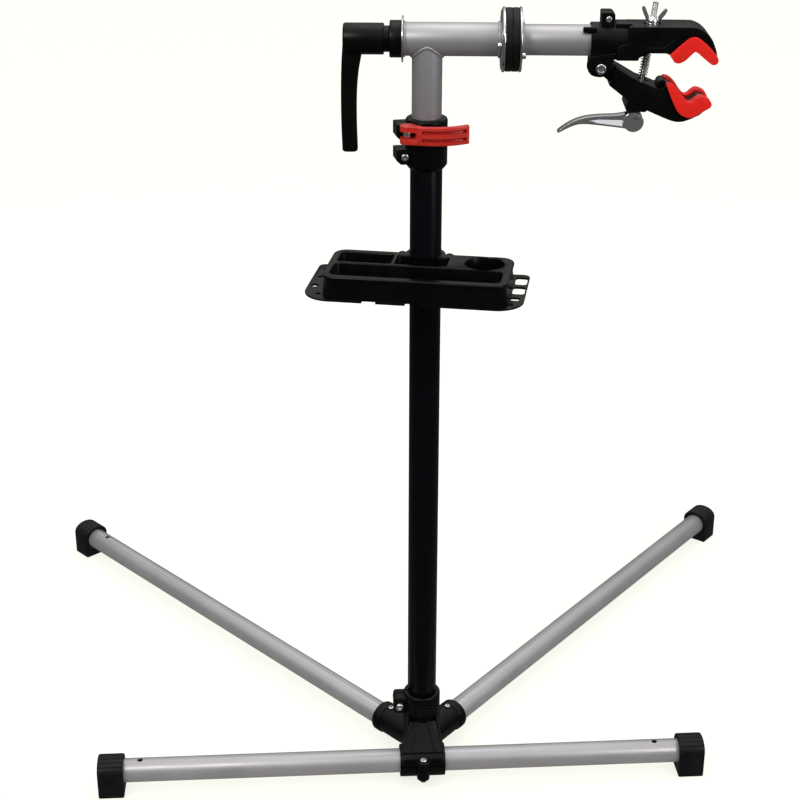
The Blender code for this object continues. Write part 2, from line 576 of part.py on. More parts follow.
def make_mast_bush(stand):
    """The glide bush in the lower end of the mast: it slides with the mast, which turns on it."""
    flange, plug = MAST_RADIUS, MAST_BORE - GAP
    shape = turned([(0.0120, 0.0), (flange, 0.0), (flange, 0.0060), (plug, 0.0060), (plug, 0.0200),
                    (0.0120, 0.0200)], 32)
    place("mast_glide_bush", shape, "black_plastic", stand, (0, 0, MAST_BOTTOM - GAP - 0.0060))


def friction_pack_positions():
    """Thicknesses and left faces of the four plates of the friction joint, along the arm."""
    dished, disc, flange = 0.0046, 0.0077, 0.0030
    first = TEE_RIGHT + GAP
    second = first + dished + GAP
    third = second + disc + GAP
    fourth = third + disc + GAP
    return (dished, disc, flange), (first, second, third, fourth)


def make_friction_joint(arm, swing):
    """Two liners between a flange on the tee and one on the arm, with three screws each."""
    (dished, disc, flange), (first, second, third, fourth) = friction_pack_positions()
    screw_hole = 0.0018 + GAP

    def plate_with_holes(profile, angles):
        shape = along_x(turned(profile, 32))
        holes = [rod((-0.01, FLANGE_SCREW_CIRCLE * cos(a), FLANGE_SCREW_CIRCLE * sin(a)),
                     (0.02, FLANGE_SCREW_CIRCLE * cos(a), FLANGE_SCREW_CIRCLE * sin(a)), screw_hole, 10)
                 for a in angles]
        return cut(shape, *holes)

    tee_side = [radians(angle) for angle in (183, 3)]
    arm_side = [radians(angle) for angle in (208, 28)]
    flange_left = [(0.0100, 0.0), (FLANGE_RADIUS - 0.0040, 0.0), (FLANGE_RADIUS, 0.0022),
                   (FLANGE_RADIUS, dished), (0.0100, dished)]
    flange_right = [(0.0100, 0.0), (FLANGE_RADIUS, 0.0), (FLANGE_RADIUS, flange - 0.0008),
                    (FLANGE_RADIUS - 0.0008, flange), (0.0100, flange)]
    liner = [(0.0100, 0.0), (DISC_RADIUS, 0.0), (DISC_RADIUS, disc), (0.0100, disc)]
    for name, profile, angles, material, parent, left in (
            ("tee_friction_flange", flange_left, tee_side, "zinc", arm, first),
            ("friction_disc_fixed", liner, tee_side, "friction_liner", arm, second),
            ("friction_disc_turning", liner, arm_side, "friction_liner", swing, third),
            ("arm_friction_flange", flange_right, arm_side, "zinc", swing, fourth)):
        place(name, plate_with_holes(profile, angles), material, parent, (left, 0, 0))
    screw = (0.0036, 0.0042, 0.0018, 0.0090, 8)
    for number, angle in enumerate(tee_side, 1):
        place(f"tee_flange_screw_{number}", screw_shape(*screw), "zinc", arm,
              (first - GAP, FLANGE_SCREW_CIRCLE * cos(angle), FLANGE_SCREW_CIRCLE * sin(angle)),
              FACE_LEFT)
    for number, angle in enumerate(arm_side, 1):
        place(f"arm_flange_screw_{number}", screw_shape(*screw), "zinc", swing,
              (fourth + flange + GAP, FLANGE_SCREW_CIRCLE * cos(angle),
               FLANGE_SCREW_CIRCLE * sin(angle)),
              FACE_RIGHT)


def make_handle(turning):
    """The tightening handle and the long rod it turns, on the arm axis."""
    hub_left, hub_right, neck_right = -0.0957, -0.0492, -0.0432
    hub = turned([(0.0, hub_left), (0.0160, hub_left), (0.0178, hub_left + 0.0018),
                  (0.0178, hub_right - 0.001), (0.0168, hub_right), (0.0148, hub_right),
                  (0.0148, neck_right), (0.0, neck_right)], 32)
    outer = [(-0.0957, 0.0040), (-0.0980, -0.0300), (-0.0990, -0.0650), (-0.0988, -0.1000),
             (-0.0980, -0.1285), (-0.0962, -0.1305)]
    inner = [(-0.0808, -0.1300), (-0.0797, -0.1282), (-0.0806, -0.0950), (-0.0806, -0.0650),
             (-0.0790, -0.0400), (-0.0762, -0.0220), (-0.0735, -0.0080), (-0.0720, 0.0040)]
    grip = softened(profile_plate(outer + inner, 0.0100), 0.0040, 2, 50.0)
    shape = joined(along_x(hub), grip)
    shape = cut(shape, rod((-0.0800, 0, 0), (-0.0300, 0, 0), ROD_RADIUS + GAP, 20))
    place("handle", shape, "black_plastic", turning)
    start = -0.0795
    rod_shape = turned([(0.0, 0.0), (ROD_RADIUS - 0.0006, 0.0), (ROD_RADIUS, 0.0006),
                        (ROD_RADIUS, 0.2040), (ROD_RADIUS - 0.0008, 0.2050), (0.0, 0.2050)], 20)
    place("through_rod", along_x(rod_shape), "zinc", turning, (start, 0, 0))


# ---------------------------------------------------------------- arm and clamp head
PAD_TOP_OUTER = [(0.2718, -0.0115), (0.2902, 0.0058), (0.2956, 0.0085), (0.2990, 0.0090),
                 (0.3034, 0.0080), (0.3154, -0.0012), (0.3256, -0.0130)]
PAD_TOP_INNER = [(0.3270, -0.0177), (0.3252, -0.0212), (0.3211, -0.0221), (0.3190, -0.0214),
                 (0.3091, -0.0137), (0.3008, -0.0065), (0.2979, -0.0086), (0.2907, -0.0164),
                 (0.2858, -0.0196), (0.2812, -0.0206), (0.2775, -0.0191)]
PAD_LOW_OUTER = [(0.2705, -0.0454), (0.2736, -0.0527), (0.2797, -0.0665), (0.2857, -0.0771),
                 (0.2944, -0.0819), (0.3007, -0.0824), (0.3088, -0.0780), (0.3218, -0.0704)]
PAD_LOW_INNER = [(0.3230, -0.0662), (0.3200, -0.0609), (0.3125, -0.0577), (0.3073, -0.0578),
                 (0.2980, -0.0668), (0.2919, -0.0611), (0.2849, -0.0505), (0.2771, -0.0443),
                 (0.2719, -0.0438)]


def offset_line(points, distance):
    """Move an open line sideways, to its left for a positive distance."""
    shifted = []
    for i, point in enumerate(points):
        before = points[max(i - 1, 0)]
        after = points[min(i + 1, len(points) - 1)]
        along = Vector((after[0] - before[0], after[1] - before[1])).normalized()
        shifted.append((point[0] - along.y * distance, point[1] + along.x * distance))
    return shifted


def make_arm(swing):
    place("arm_tube", along_x(pipe(ARM_RADIUS, ARM_BORE, ARM_END - ARM_START, 32)), "silver_tube",
          swing, (ARM_START, 0, 0))
    plug = turned([(ROD_RADIUS + GAP, 0.0), (ARM_BORE - GAP, 0.0), (ARM_BORE - GAP, 0.0160),
                   (ROD_RADIUS + GAP, 0.0160)], 28)
    place("arm_anchor_plug", along_x(plug), "zinc", swing, (ARM_START + 0.0010, 0, 0))


def pad_and_insert(outer, inner, side):
    """A pad with two cheeks and a web under them, and the strip that lies between the cheeks."""
    floor = offset_line(outer, side * PAD_WEB)
    start, end = Vector(floor[0]), Vector(floor[-1])
    start += (start - Vector(floor[1])).normalized() * 0.006
    end += (end - Vector(floor[-2])).normalized() * 0.006
    mouth = [(point[0], point[1] + side * 0.040) for point in (end, start)]
    channel = [tuple(start)] + floor + [tuple(end)] + mouth
    pad = softened(profile_plate(outer + inner, PAD_HALF), 0.0014, 1, 60.0)
    pad = cut(pad, profile_plate(channel, INSERT_HALF))
    seat = offset_line(outer, side * (PAD_WEB + GAP))
    crown = offset_line(inner, side * INSERT_SINK)
    insert = profile_plate(seat + crown, INSERT_HALF - GAP)
    return pad, softened(insert, 0.0010, 1, 60.0)


def make_upper_jaw(swing):
    """The fixed jaw with its tube socket, clamp ears, pivot lugs and rod slot."""
    socket = rod((0.1840, 0, 0), (0.2360, 0, 0), 0.0205, 32)
    nose = [(0.3175, 0.0045), (0.3086, 0.0125), (0.2990, 0.0178), (0.2910, 0.0195)]
    interface = offset_line(PAD_TOP_OUTER, GAP)
    body = [(0.2250, 0.0180), (0.2250, 0.0010), (0.2130, -0.0030), (0.2130, -0.0185)]
    body += [(0.2370, -0.0185), (0.2385, -0.0152), (0.2500, -0.0100), (0.2680, -0.0100)]
    body += interface + [(0.3235, -0.0050)] + nose + [(0.2260, 0.0195)]
    body = softened(profile_plate(body, JAW_HALF), 0.0015, 1, 50.0)
    chin = box((0.1842, -0.0190, -0.0183), (0.2350, 0.0190, 0.0))
    near = [(0.1842, -0.0140), (0.1805, -0.0190), (0.1797, -0.0270), (0.1840, -0.0345),
            (0.1905, -0.0370), (0.1990, -0.0372), (0.2055, -0.0325), (0.2080, -0.0240), (0.2120, -0.0100)]
    far = [(max(x, 0.1842), z) for x, z in near]
    lugs = []
    for side, lug in ((-1, near), (1, far)):
        middle = side * (LUG_INNER + LUG_OUTER) / 2
        lug_plate = profile_plate(lug, (LUG_OUTER - LUG_INNER) / 2)
        lugs.append(moved(lug_plate, Matrix.Translation((0, middle, 0))))
    ear = [(0.1950, 0.0100), (0.2103, 0.0100), (0.2103, 0.0305), (0.2075, 0.0335), (0.1950, 0.0335)]
    ears = softened(profile_plate(ear, 0.0125), 0.0008, 1, 60.0)
    key = softened(box((0.1745, -0.0182, 0.0117), (0.1900, -0.0126, 0.0179)), 0.0014)
    shape = joined(socket, body, chin, *lugs, ears, key)
    shape = cut(shape,
                rod((0.1700, 0, 0), (ARM_END + GAP, 0, 0), ARM_RADIUS + GAP, 32),
                box((0.1700, -EAR_SLOT / 2, 0.0), (0.2125, EAR_SLOT / 2, 0.050)),
                box((0.2455, -0.0040, -0.030), (0.2580, 0.0040, 0.030)),
                rod((SEAT[0], 0, 0.0160), (SEAT[0], 0, 0.030), 0.0100, 24),
                rod((JAW_PIVOT[0], -0.030, JAW_PIVOT[1]), (JAW_PIVOT[0], 0.030, JAW_PIVOT[1]),
                    0.0040, 18),
                rod((0.2030, -0.020, 0.0260), (0.2030, 0.020, 0.0260), 0.0024, 12),
                solver="MANIFOLD")
    place("upper_jaw", shape, "black_plastic", swing)
    pad, insert = pad_and_insert(PAD_TOP_OUTER, PAD_TOP_INNER, -1)
    place("upper_jaw_pad", pad, "red_rubber", swing)
    place("upper_jaw_insert", insert, "black_plastic", swing)
    place("head_clamp_screw", screw_shape(0.0036, 0.0030, 0.0021, 0.0270), "zinc", swing,
          (0.2030, -0.0125 - GAP, 0.0260), FACE_FRONT)
    place("head_clamp_nut", nut_shape(0.0070, 0.0030, 0.0024), "zinc", swing,
          (0.2030, 0.0125 + GAP, 0.0260), FACE_BACK)
    bolt = turned([(0.0, 0.0016), (0.0034, 0.0016), (0.0034, 0.0030), (0.0052, 0.0030),
                   (0.0060, 0.0020), (0.0060, 0.0), (0.0036, 0.0), (0.0036, -0.0475),
                   (0.0048, -0.0475), (0.0052, -0.0482), (0.0040, -0.0495), (0.0, -0.0495)], 20)
    place("jaw_pivot_bolt", bolt, "zinc", swing,
          (JAW_PIVOT[0], -LUG_OUTER - GAP, JAW_PIVOT[1]), FACE_FRONT)


def from_pivot(points, pivot=JAW_PIVOT):
    return [(x - pivot[0], z - pivot[1]) for x, z in points]


def bead(radius, half):
    """The rolled end of the lower strip, across the jaw."""
    x, z = from_pivot([BEAD])[0]
    return rod((x, -half, z), (x, half, z), radius, 20)


def make_lower_jaw(axis):
    """The moving jaw; its frame is the pivot bolt."""
    interface = offset_line(list(reversed(PAD_LOW_OUTER)), GAP)
    wide = [(0.2135, -0.0268), (0.2390, -0.0415), (0.2486, -0.0446), (0.2604, -0.0498), (0.2672, -0.0500)]
    wide += list(reversed(interface))[:-1]
    wide += [(0.3060, -0.0815), (0.3003, -0.0850), (0.2890, -0.0886), (0.2784, -0.0871)]
    wide += [(0.2503, -0.0750), (0.2490, -0.0770), (0.2272, -0.0762), (0.2259, -0.0720)]
    wide += [(0.2286, -0.0639), (0.2060, -0.0465)]
    body = softened(profile_plate(from_pivot(wide), JAW_HALF), 0.0015, 1, 50.0)
    tongue = arc((0, 0), 0.0063, 60, 240, 9) + from_pivot([(0.2300, -0.0600), (0.2320, -0.0430)])
    tongue = profile_plate(tongue, LUG_INNER - GAP)
    shape = joined(body, tongue)
    slot_low, slot_high = -0.0980, -0.0300            # heights of the rod slot's ends
    tilt = sin(ROD_TILT) / cos(ROD_TILT)
    slot = []
    for height, left, right in ((slot_low, -0.0046, 0.0040), (slot_high, -0.0046, 0.0085)):
        middle = CAM_PIN[0] + (height - CAM_PIN[1]) * tilt
        slot += [(middle + side - JAW_PIVOT[0], y, height - JAW_PIVOT[1])
                 for side in (left, right) for y in (-0.0040, 0.0040)]
    shape = cut(shape, hull(slot), rod((0, -0.03, 0), (0, 0.03, 0), 0.0036 + GAP, 18),
                bead(BEAD_RADIUS + GAP, INSERT_HALF + GAP))
    place("lower_jaw", shape, "black_plastic", axis)
    pad, insert = pad_and_insert(from_pivot(PAD_LOW_OUTER), from_pivot(PAD_LOW_INNER), 1)
    place("lower_jaw_pad", pad, "red_rubber", axis)
    place("lower_jaw_insert", joined(insert, bead(BEAD_RADIUS, INSERT_HALF - GAP)), "black_plastic", axis)


def make_draw_rod(axis, cam):
    """The rod that ties the jaws, its washer, wing nut and spring; the frame is its upper seat."""
    low, high = -ROD_LENGTH + 0.0030, 0.0244
    stem = turned([(0.0, low), (DRAW_RADIUS, low), (DRAW_RADIUS, high - 0.0008),
                   (DRAW_RADIUS - 0.0006, high), (0.0, high)], 16)
    eye = rod((0, -0.0040, -ROD_LENGTH), (0, 0.0040, -ROD_LENGTH), 0.0052, 20)
    shape = cut(joined(stem, eye), rod((0, -0.01, -ROD_LENGTH), (0, 0.01, -ROD_LENGTH), 0.0024 + GAP, 14))
    place("draw_rod", shape, "zinc", axis)
    washer = pipe(0.0075, DRAW_RADIUS + GAP, 0.0016, 24)
    place("draw_rod_washer", washer, "zinc", axis, (0, 0, -0.0010))
    hub = turned([(DRAW_RADIUS + GAP, 0.0), (0.0066, 0.0), (0.0066, 0.0030), (0.0052, 0.0066),
                  (DRAW_RADIUS + GAP, 0.0066)], 20)
    wing = [(0.0046, 0.0008), (0.0066, 0.0010), (0.0126, 0.0100), (0.0146, 0.0150), (0.0130, 0.0172),
            (0.0106, 0.0160), (0.0062, 0.0085), (0.0044, 0.0058)]
    wings = []
    for side in (-1, 1):
        blade = profile_plate([(side * x, z) for x, z in wing], 0.0014)
        wings.append(blade)
    place("wing_nut", softened(joined(hub, *wings), 0.0004, 1, 60.0), "chrome", axis,
          (0, 0, 0.0006 + GAP))
    place("cam_pin", rod((0, -0.0095, 0), (0, 0.0095, 0), 0.0024, 14), "zinc", cam)


def make_cam_lever(cam):
    """The chrome cam lever; its frame is the cam pin."""
    cheek, fork = 0.0088, 0.0045
    hub = rod((CAM_CENTRE[0], -cheek, CAM_CENTRE[1]), (CAM_CENTRE[0], cheek, CAM_CENTRE[1]),
              CAM_RADIUS, 28)
    upper = [(-0.0065, 0.0050), (-0.0215, 0.0015), (-0.0427, 0.0010), (-0.0600, -0.0012),
             (-0.0750, -0.0072), (-0.0870, -0.0160)]
    lower = [(-0.0893, -0.0186), (-0.0880, -0.0192), (-0.0750, -0.0118), (-0.0635, -0.0080),
             (-0.0450, -0.0092), (-0.0154, -0.0126), (-0.0080, -0.0140)]
    blade = softened(profile_plate(upper + lower, 0.0065), 0.0008, 1, 60.0)
    fork_cut = box((-0.0125, -fork, -0.0200), (0.0150, fork, 0.0120))
    hollow = profile_plate([(-0.0200, -0.0020), (-0.0430, -0.0018), (-0.0600, -0.0042),
                            (-0.0610, -0.0120), (-0.0440, -0.0130), (-0.0200, -0.0180)], 0.0050)
    pin_hole = rod((0, -0.02, 0), (0, 0.02, 0), 0.0024 + GAP, 14)
    place("cam_lever", cut(joined(hub, blade), fork_cut, hollow, pin_hole), "chrome", cam)


def make_spring(axis):
    """The coil that pushes the jaws apart, as a bevelled curve round the draw rod."""
    top, bottom, turns, per_turn = -0.0325, -0.0590, 7, 10
    data = bpy.data.curves.new("jaw_spring", "CURVE")
    data.dimensions = "3D"
    data.bevel_depth = 0.0006
    data.bevel_resolution = 1
    data.use_fill_caps = True
    spline = data.splines.new("POLY")
    count = turns * per_turn + 1
    spline.points.add(count - 1)
    for i, point in enumerate(spline.points):
        angle = 2 * pi * i / per_turn
        height = bottom + (top - bottom) * i / (count - 1)
        point.co = (0.0047 * cos(angle), 0.0047 * sin(angle), height, 1.0)
    data.materials.append(principled("spring_steel"))
    spring = bpy.data.objects.new("jaw_spring", data)
    bpy.context.scene.collection.objects.link(spring)
    spring.parent = axis


def main():
    clear_scene()
    stand = frame("stand_frame", None, (MAST_X, MAST_Y, 0.0))
    make_hub(stand)
    make_hub_fasteners(stand)
    make_legs(stand)
    make_post(stand)

    collar = frame("collar_frame", stand, (0, 0, COLLAR_Z), (0, 0, COLLAR_YAW))
    make_collar(collar)
    make_quick_release(frame("qr_lever_axis", collar, (SKEWER_X, PIN_Y, 0)))

    tray = frame("tray_frame", stand, (0, 0, TRAY_RIM), (0, 0, TRAY_YAW))
    make_tray(tray)
    make_tray_clamp(tray)

    make_mast_bush(stand)
    mast = frame("mast_frame", stand, (0, 0, ARM_Z), (0, 0, ARM_YAW))
    make_mast(mast)
    handle_axis = frame("handle_axis", mast)
    make_handle(handle_axis)
    arm_axis = frame("arm_axis", mast)
    make_friction_joint(mast, arm_axis)
    make_arm(arm_axis)
    make_upper_jaw(arm_axis)
    make_lower_jaw(frame("jaw_axis", arm_axis, (JAW_PIVOT[0], 0, JAW_PIVOT[1])))
    rod_axis = frame("draw_rod_axis", arm_axis, (SEAT[0], 0, SEAT[1]), (0, ROD_TILT, 0))
    cam_axis = frame("cam_axis", arm_axis, (CAM_PIN[0], 0, CAM_PIN[1]))
    make_draw_rod(rod_axis, cam_axis)
    make_cam_lever(cam_axis)
    make_spring(rod_axis)


main()
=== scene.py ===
"""Looks of the bike repair stand: detailed pieces, materials, a plain studio and the camera.

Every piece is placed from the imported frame: the joints give the axes and the nodes' boxes give
the heights. Shapes and local frames are in millimetres, and place() turns them into metres; the
studio and the camera are in metres. A local frame has +Z up, and the arm's runs along its +X.
"""

import json
from math import atan2, cos, degrees, hypot, pi, radians, sin, sqrt

import bmesh
import bpy
from mathutils import Matrix, Vector


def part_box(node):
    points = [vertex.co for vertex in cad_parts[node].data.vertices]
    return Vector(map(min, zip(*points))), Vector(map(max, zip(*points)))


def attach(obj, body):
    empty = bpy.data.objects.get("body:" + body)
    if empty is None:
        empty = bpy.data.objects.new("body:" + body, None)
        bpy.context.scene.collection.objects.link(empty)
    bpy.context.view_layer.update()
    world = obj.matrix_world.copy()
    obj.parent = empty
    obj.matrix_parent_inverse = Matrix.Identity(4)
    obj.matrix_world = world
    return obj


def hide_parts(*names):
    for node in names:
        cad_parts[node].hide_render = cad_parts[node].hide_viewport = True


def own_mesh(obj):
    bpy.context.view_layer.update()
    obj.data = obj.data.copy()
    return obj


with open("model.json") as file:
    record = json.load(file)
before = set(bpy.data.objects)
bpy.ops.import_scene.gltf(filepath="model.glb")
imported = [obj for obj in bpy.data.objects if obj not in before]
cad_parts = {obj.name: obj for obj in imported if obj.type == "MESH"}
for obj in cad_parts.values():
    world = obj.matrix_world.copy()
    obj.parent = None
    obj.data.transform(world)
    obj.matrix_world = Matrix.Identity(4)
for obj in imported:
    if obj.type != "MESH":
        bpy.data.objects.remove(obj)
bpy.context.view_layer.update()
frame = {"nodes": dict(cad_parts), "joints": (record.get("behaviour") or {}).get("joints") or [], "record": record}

# ---- places taken from the frame
JOINTS = {joint["name"]: joint for joint in frame["joints"]}
GAP = 0.3  # clearance between two pieces that touch


def joint_point(name):
    return Vector(JOINTS[name]["pos_m"]) * 1000


def node_box(name):
    return [corner * 1000 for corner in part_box(name)]


def at(point, yaw=0):
    return Matrix.Translation(point) @ Matrix.Rotation(yaw, 4, "Z")


MAST = joint_point("mast_swivel")
COLLAR_YAW, TRAY_YAW = radians(8), radians(-12.5)
ARM_AXIS = Vector(JOINTS["arm_rotation"]["axis"])
ARM_YAW = atan2(ARM_AXIS.y, ARM_AXIS.x)
ROD_AXIS = Vector(JOINTS["wing_nut_turn"]["axis"])
ROD_TILT = atan2(ROD_AXIS.xy.length, ROD_AXIS.z)

STAND = at((MAST.x, MAST.y, 0))
COLLAR = at((MAST.x, MAST.y, joint_point("qr_lever_turn").z), COLLAR_YAW)
QR = at(joint_point("qr_lever_turn"), COLLAR_YAW)
TRAY = at((MAST.x, MAST.y, node_box("tool_tray")[1].z), TRAY_YAW)
ARM = at((MAST.x, MAST.y, joint_point("arm_rotation").z), ARM_YAW)
JAW = at(joint_point("lower_jaw_turn"), ARM_YAW)
ROD = at(joint_point("draw_rod_tilt"), ARM_YAW) @ Matrix.Rotation(ROD_TILT, 4, "Y")
CAM = at(joint_point("cam_lever_turn"), ARM_YAW)


def in_frame(local, point):
    """A world point as seen from a local frame."""
    return local.inverted() @ Vector(point)


def link(obj):
    bpy.context.scene.collection.objects.link(obj)
    return obj


# ---- materials
def add_node(tree, kind, inputs=(), **values):
    node = tree.nodes.new("ShaderNode" + kind)
    for name, value in values.items():
        setattr(node, name, value)
    fill(node, inputs)
    return node


def fill(node, inputs):
    """Set inputs by name: a node's output is linked, anything else is the input's own value."""
    for name, value in dict(inputs).items():
        if isinstance(value, bpy.types.NodeSocket):
            node.id_data.links.new(value, node.inputs[name])
        else:
            node.inputs[name].default_value = value


def noise_node(tree, vector, scale, detail=3):
    return add_node(tree, "TexNoise", {"Scale": scale, "Detail": detail, "Vector": vector}).outputs["Fac"]


def ranged(tree, value, low, high, from_low=0.3, from_high=0.7):
    inputs = {"From Min": from_low, "From Max": from_high, "To Min": low, "To Max": high,
              "Value": value}
    return add_node(tree, "MapRange", inputs).outputs["Result"]


def mixed(tree, factor, first, second):
    node = add_node(tree, "Mix", {"Factor": factor}, data_type="RGBA")
    pair = [(*value, 1) if isinstance(value, tuple) else value for value in (first, second)]
    fill(node, {6: pair[0], 7: pair[1]})
    return node.outputs[2]


def new_material(name):
    material = bpy.data.materials.new(name)
    material.use_nodes = True
    return material, material.node_tree, material.node_tree.nodes["Principled BSDF"]


def surface(name, colour, roughness, metallic=0, mottle=0.1, patch=25, grain=1600,
            bump=0.1, specular=0.5, coat=0, spread=0.07, edge=None):
    """A procedural finish: patchy colour, uneven gloss, fine grain, and paler edges that are partly wear and
    partly a painted highlight.
    """
    material, tree, shader = new_material(name)
    place = add_node(tree, "TexCoord").outputs["Object"]
    patches = noise_node(tree, place, patch)
    darker = tuple(value * (1 - mottle) for value in colour)
    lighter = tuple(min(1, value * (1 + mottle)) for value in colour)
    shade = mixed(tree, ranged(tree, patches, 0, 1), darker, lighter)
    rough = ranged(tree, patches, roughness - spread, roughness + spread)
    # Pointy edges are painted paler: partly edge wear, partly a painted highlight along rims and bevels.
    if edge:
        pointy = add_node(tree, "NewGeometry").outputs["Pointiness"]
        shade = mixed(tree, ranged(tree, pointy, 0, EDGE_AMOUNT, *EDGE_SHARPNESS), shade, edge)
    relief = {"Strength": bump, "Distance": GRAIN_DEPTH, "Height": noise_node(tree, place, grain, 2)}
    fill(
        shader, {"Metallic": metallic, "Specular IOR Level": specular, "Coat Weight": coat,
        "Coat Roughness": 0.12, "Base Color": shade, "Roughness": rough, "Normal": add_node(tree,
        "Bump", relief).outputs["Normal"]})
    return material


EDGE_AMOUNT, EDGE_SHARPNESS = 0.4, (0.505, 0.6)
GRAIN_DEPTH = 0.00006  # metres
FINISH = {
    "silver_tube": surface("silver_coat", (0.348, 0.335, 0.35), 0.4, 0.5, 0.05, 14, 2600, 0.25,
                           coat=0.2),
    "black_tube": surface("black_coat", (0.0016, 0.0018, 0.003), 0.28, 0, 0.25, 12, 2400, 0.16, 0.12),
    "black_plastic": surface("moulded_black", (0.0018, 0.0018, 0.002), 0.32, 0, 0.25, 40, 2200, 0.35,
                             0.13),
    "tray_plastic": surface("tray_black", (0.0016, 0.0016, 0.0018), 0.22, 0, 0.25, 26, 2000, 0.25,
                            0.14),
    "foot_rubber": surface("foot_rubber", (0.004, 0.004, 0.0043), 0.45, 0, 0.3, 60, 1400, 0.4,
                           0.16),
    # The red finishes get a paler edge colour: partly wear, partly a painted highlight.
    "red_plastic": surface("moulded_red", (0.5, 0.014, 0.009), 0.3, 0, 0.08, 40, 1800, 0.12, 0.35,
                           0.15, edge=(0.75, 0.09, 0.06)),
    "red_rubber": surface("pad_rubber", (0.82, 0.012, 0.008), 0.42, 0, 0.07, 50, 1500, 0.3, 0.25,
                          edge=(0.8, 0.08, 0.06)),
    "friction_liner": surface("liner_black", (0.005, 0.005, 0.005), 0.5, 0, 0.3, 90, 1500, 0.4,
                              0.15),
    "zinc": surface("zinc_plate", (0.6, 0.6, 0.61), 0.2, 1, 0.08, 120, 2600, 0.2),
    "chrome": surface("bright_chrome", (0.78, 0.78, 0.8), 0.09, 1, 0.03, 60, 1500, 0.05,
                      spread=0.03),
    "spring_steel": surface("spring_wire", (0.45, 0.45, 0.46), 0.22, 1, 0.12, 200, 2600, 0.15),
}
SLOT_OF = {row["node"]: row["material_slot"] for row in frame["record"]["subparts"]}
BODY_OF = {node: body for body, nodes in frame["record"]["behaviour"]["bodies"].items()
           for node in nodes}


# ---- shapes, as bmesh data
def moved(shape, matrix):
    bmesh.ops.transform(shape, matrix=matrix, verts=shape.verts)
    return shape


def outward(shape):
    bmesh.ops.recalc_face_normals(shape, faces=shape.faces)
    return shape


def along_x(shape):
    """Lay a shape that was turned about Z along +X."""
    return moved(shape, Matrix.Rotation(pi / 2, 4, "Y"))


def box(low, high):
    shape = bmesh.new()
    bmesh.ops.create_cube(shape, size=1)
    for vert in shape.verts:
        for axis in range(3):
            vert.co[axis] = low[axis] if vert.co[axis] < 0 else high[axis]
    return shape


def rod(start, end, radius, segments=48):
    start, end = Vector(start), Vector(end)
    turn = (end - start).to_track_quat("Z", "Y").to_matrix().to_4x4()
    shape = bmesh.new()
    bmesh.ops.create_cone(
        shape, cap_ends=True, segments=segments, radius1=radius, radius2=radius,
        depth=(end - start).length, matrix=Matrix.Translation((start + end) / 2) @ turn)
    return shape


def across(x, z, half, radius, segments=48):
    """A rod along Y, centred on the middle plane."""
    return rod((x, -half, z), (x, half, z), radius, segments)


def upright(x, y, low, high, radius, segments=48):
    return rod((x, y, low), (x, y, high), radius, segments)


def lengthwise(low, high, radius, segments=48, y=0, z=0):
    """A rod along X."""
    return rod((low, y, z), (high, y, z), radius, segments)


def turned(profile, segments=64):
    """Spin (radius, height) points about Z; a profile that never meets the axis is a ring."""
    shape = bmesh.new()
    verts = [shape.verts.new((radius, 0, height)) for radius, height in profile]
    pairs = list(zip(verts, verts[1:]))
    if profile[0][0] > 0 and profile[-1][0] > 0:
        pairs.append((verts[-1], verts[0]))
    edges = [shape.edges.new(pair) for pair in pairs]
    bmesh.ops.spin(shape, geom=verts + edges, cent=(0, 0, 0), axis=(0, 0, 1),
                   angle=2 * pi, steps=segments, use_merge=False)
    bmesh.ops.remove_doubles(shape, verts=shape.verts, dist=0.004)
    return outward(shape)


def ring(outer, inner, length, soft=0.4, segments=80):
    """A tube along Z with softened ends."""
    return turned([
        (outer - soft, 0), (outer - soft * 0.3, soft * 0.3), (outer, soft), (outer, length - soft),
        (outer - soft * 0.3, length - soft * 0.3), (outer - soft, length), (inner, length), (inner, 0)],
        segments)


def plate(outline, low, high):
    """Extrude an (x, y) outline from one height to another."""
    shape = bmesh.new()
    face = shape.faces.new([shape.verts.new((x, y, low)) for x, y in outline])
    grown = bmesh.ops.extrude_face_region(shape, geom=[face])
    top = [item for item in grown["geom"] if isinstance(item, bmesh.types.BMVert)]
    bmesh.ops.translate(shape, vec=(0, 0, high - low), verts=top)
    return outward(shape)


def profile_plate(outline, half_width):
    """Extrude an (along, up) side outline to both sides of the middle plane."""
    return moved(plate(outline, -half_width, half_width), Matrix.Rotation(pi / 2, 4, "X"))


def slab(outline, half_width, soft, segments=3, angle=35):
    return softened(profile_plate(outline, half_width), soft, segments, angle)


def loft(rings, closed=False):
    """Skin rings of equally many points; closed joins the last ring to the first."""
    shape = bmesh.new()
    rows = [[shape.verts.new(point) for point in points] for points in rings]
    count = len(rows[0])
    pairs = list(zip(rows, rows[1:])) + ([(rows[-1], rows[0])] if closed else [])
    for low, high in pairs:
        for i in range(count):
            shape.faces.new((low[i], low[(i + 1) % count], high[(i + 1) % count], high[i]))
    if not closed:
        shape.faces.new(rows[0])
        shape.faces.new(rows[-1])
    return outward(shape)


def hull(points):
    shape = bmesh.new()
    verts = [shape.verts.new(point) for point in points]
    result = bmesh.ops.convex_hull(shape, input=verts)
    spare = set(result["geom_interior"] + result["geom_unused"])
    bmesh.ops.delete(
        shape, geom=[item for item in spare if isinstance(item, bmesh.types.BMVert)], context="VERTS")
    return outward(shape)


def softened(shape, width, segments=3, angle=35):
    """Round every edge sharper than the angle."""
    outward(shape)
    edges = [edge for edge in shape.edges
             if len(edge.link_faces) == 2 and degrees(edge.calc_face_angle(0)) > angle]
    bmesh.ops.bevel(shape, geom=edges, offset=width, offset_type="OFFSET", segments=segments,
                    profile=0.5, affect="EDGES", clamp_overlap=True)
    return shape


def new_object(shape, name):
    mesh = bpy.data.meshes.new(name)
    shape.to_mesh(mesh)
    shape.free()
    return link(bpy.data.objects.new(name, mesh))


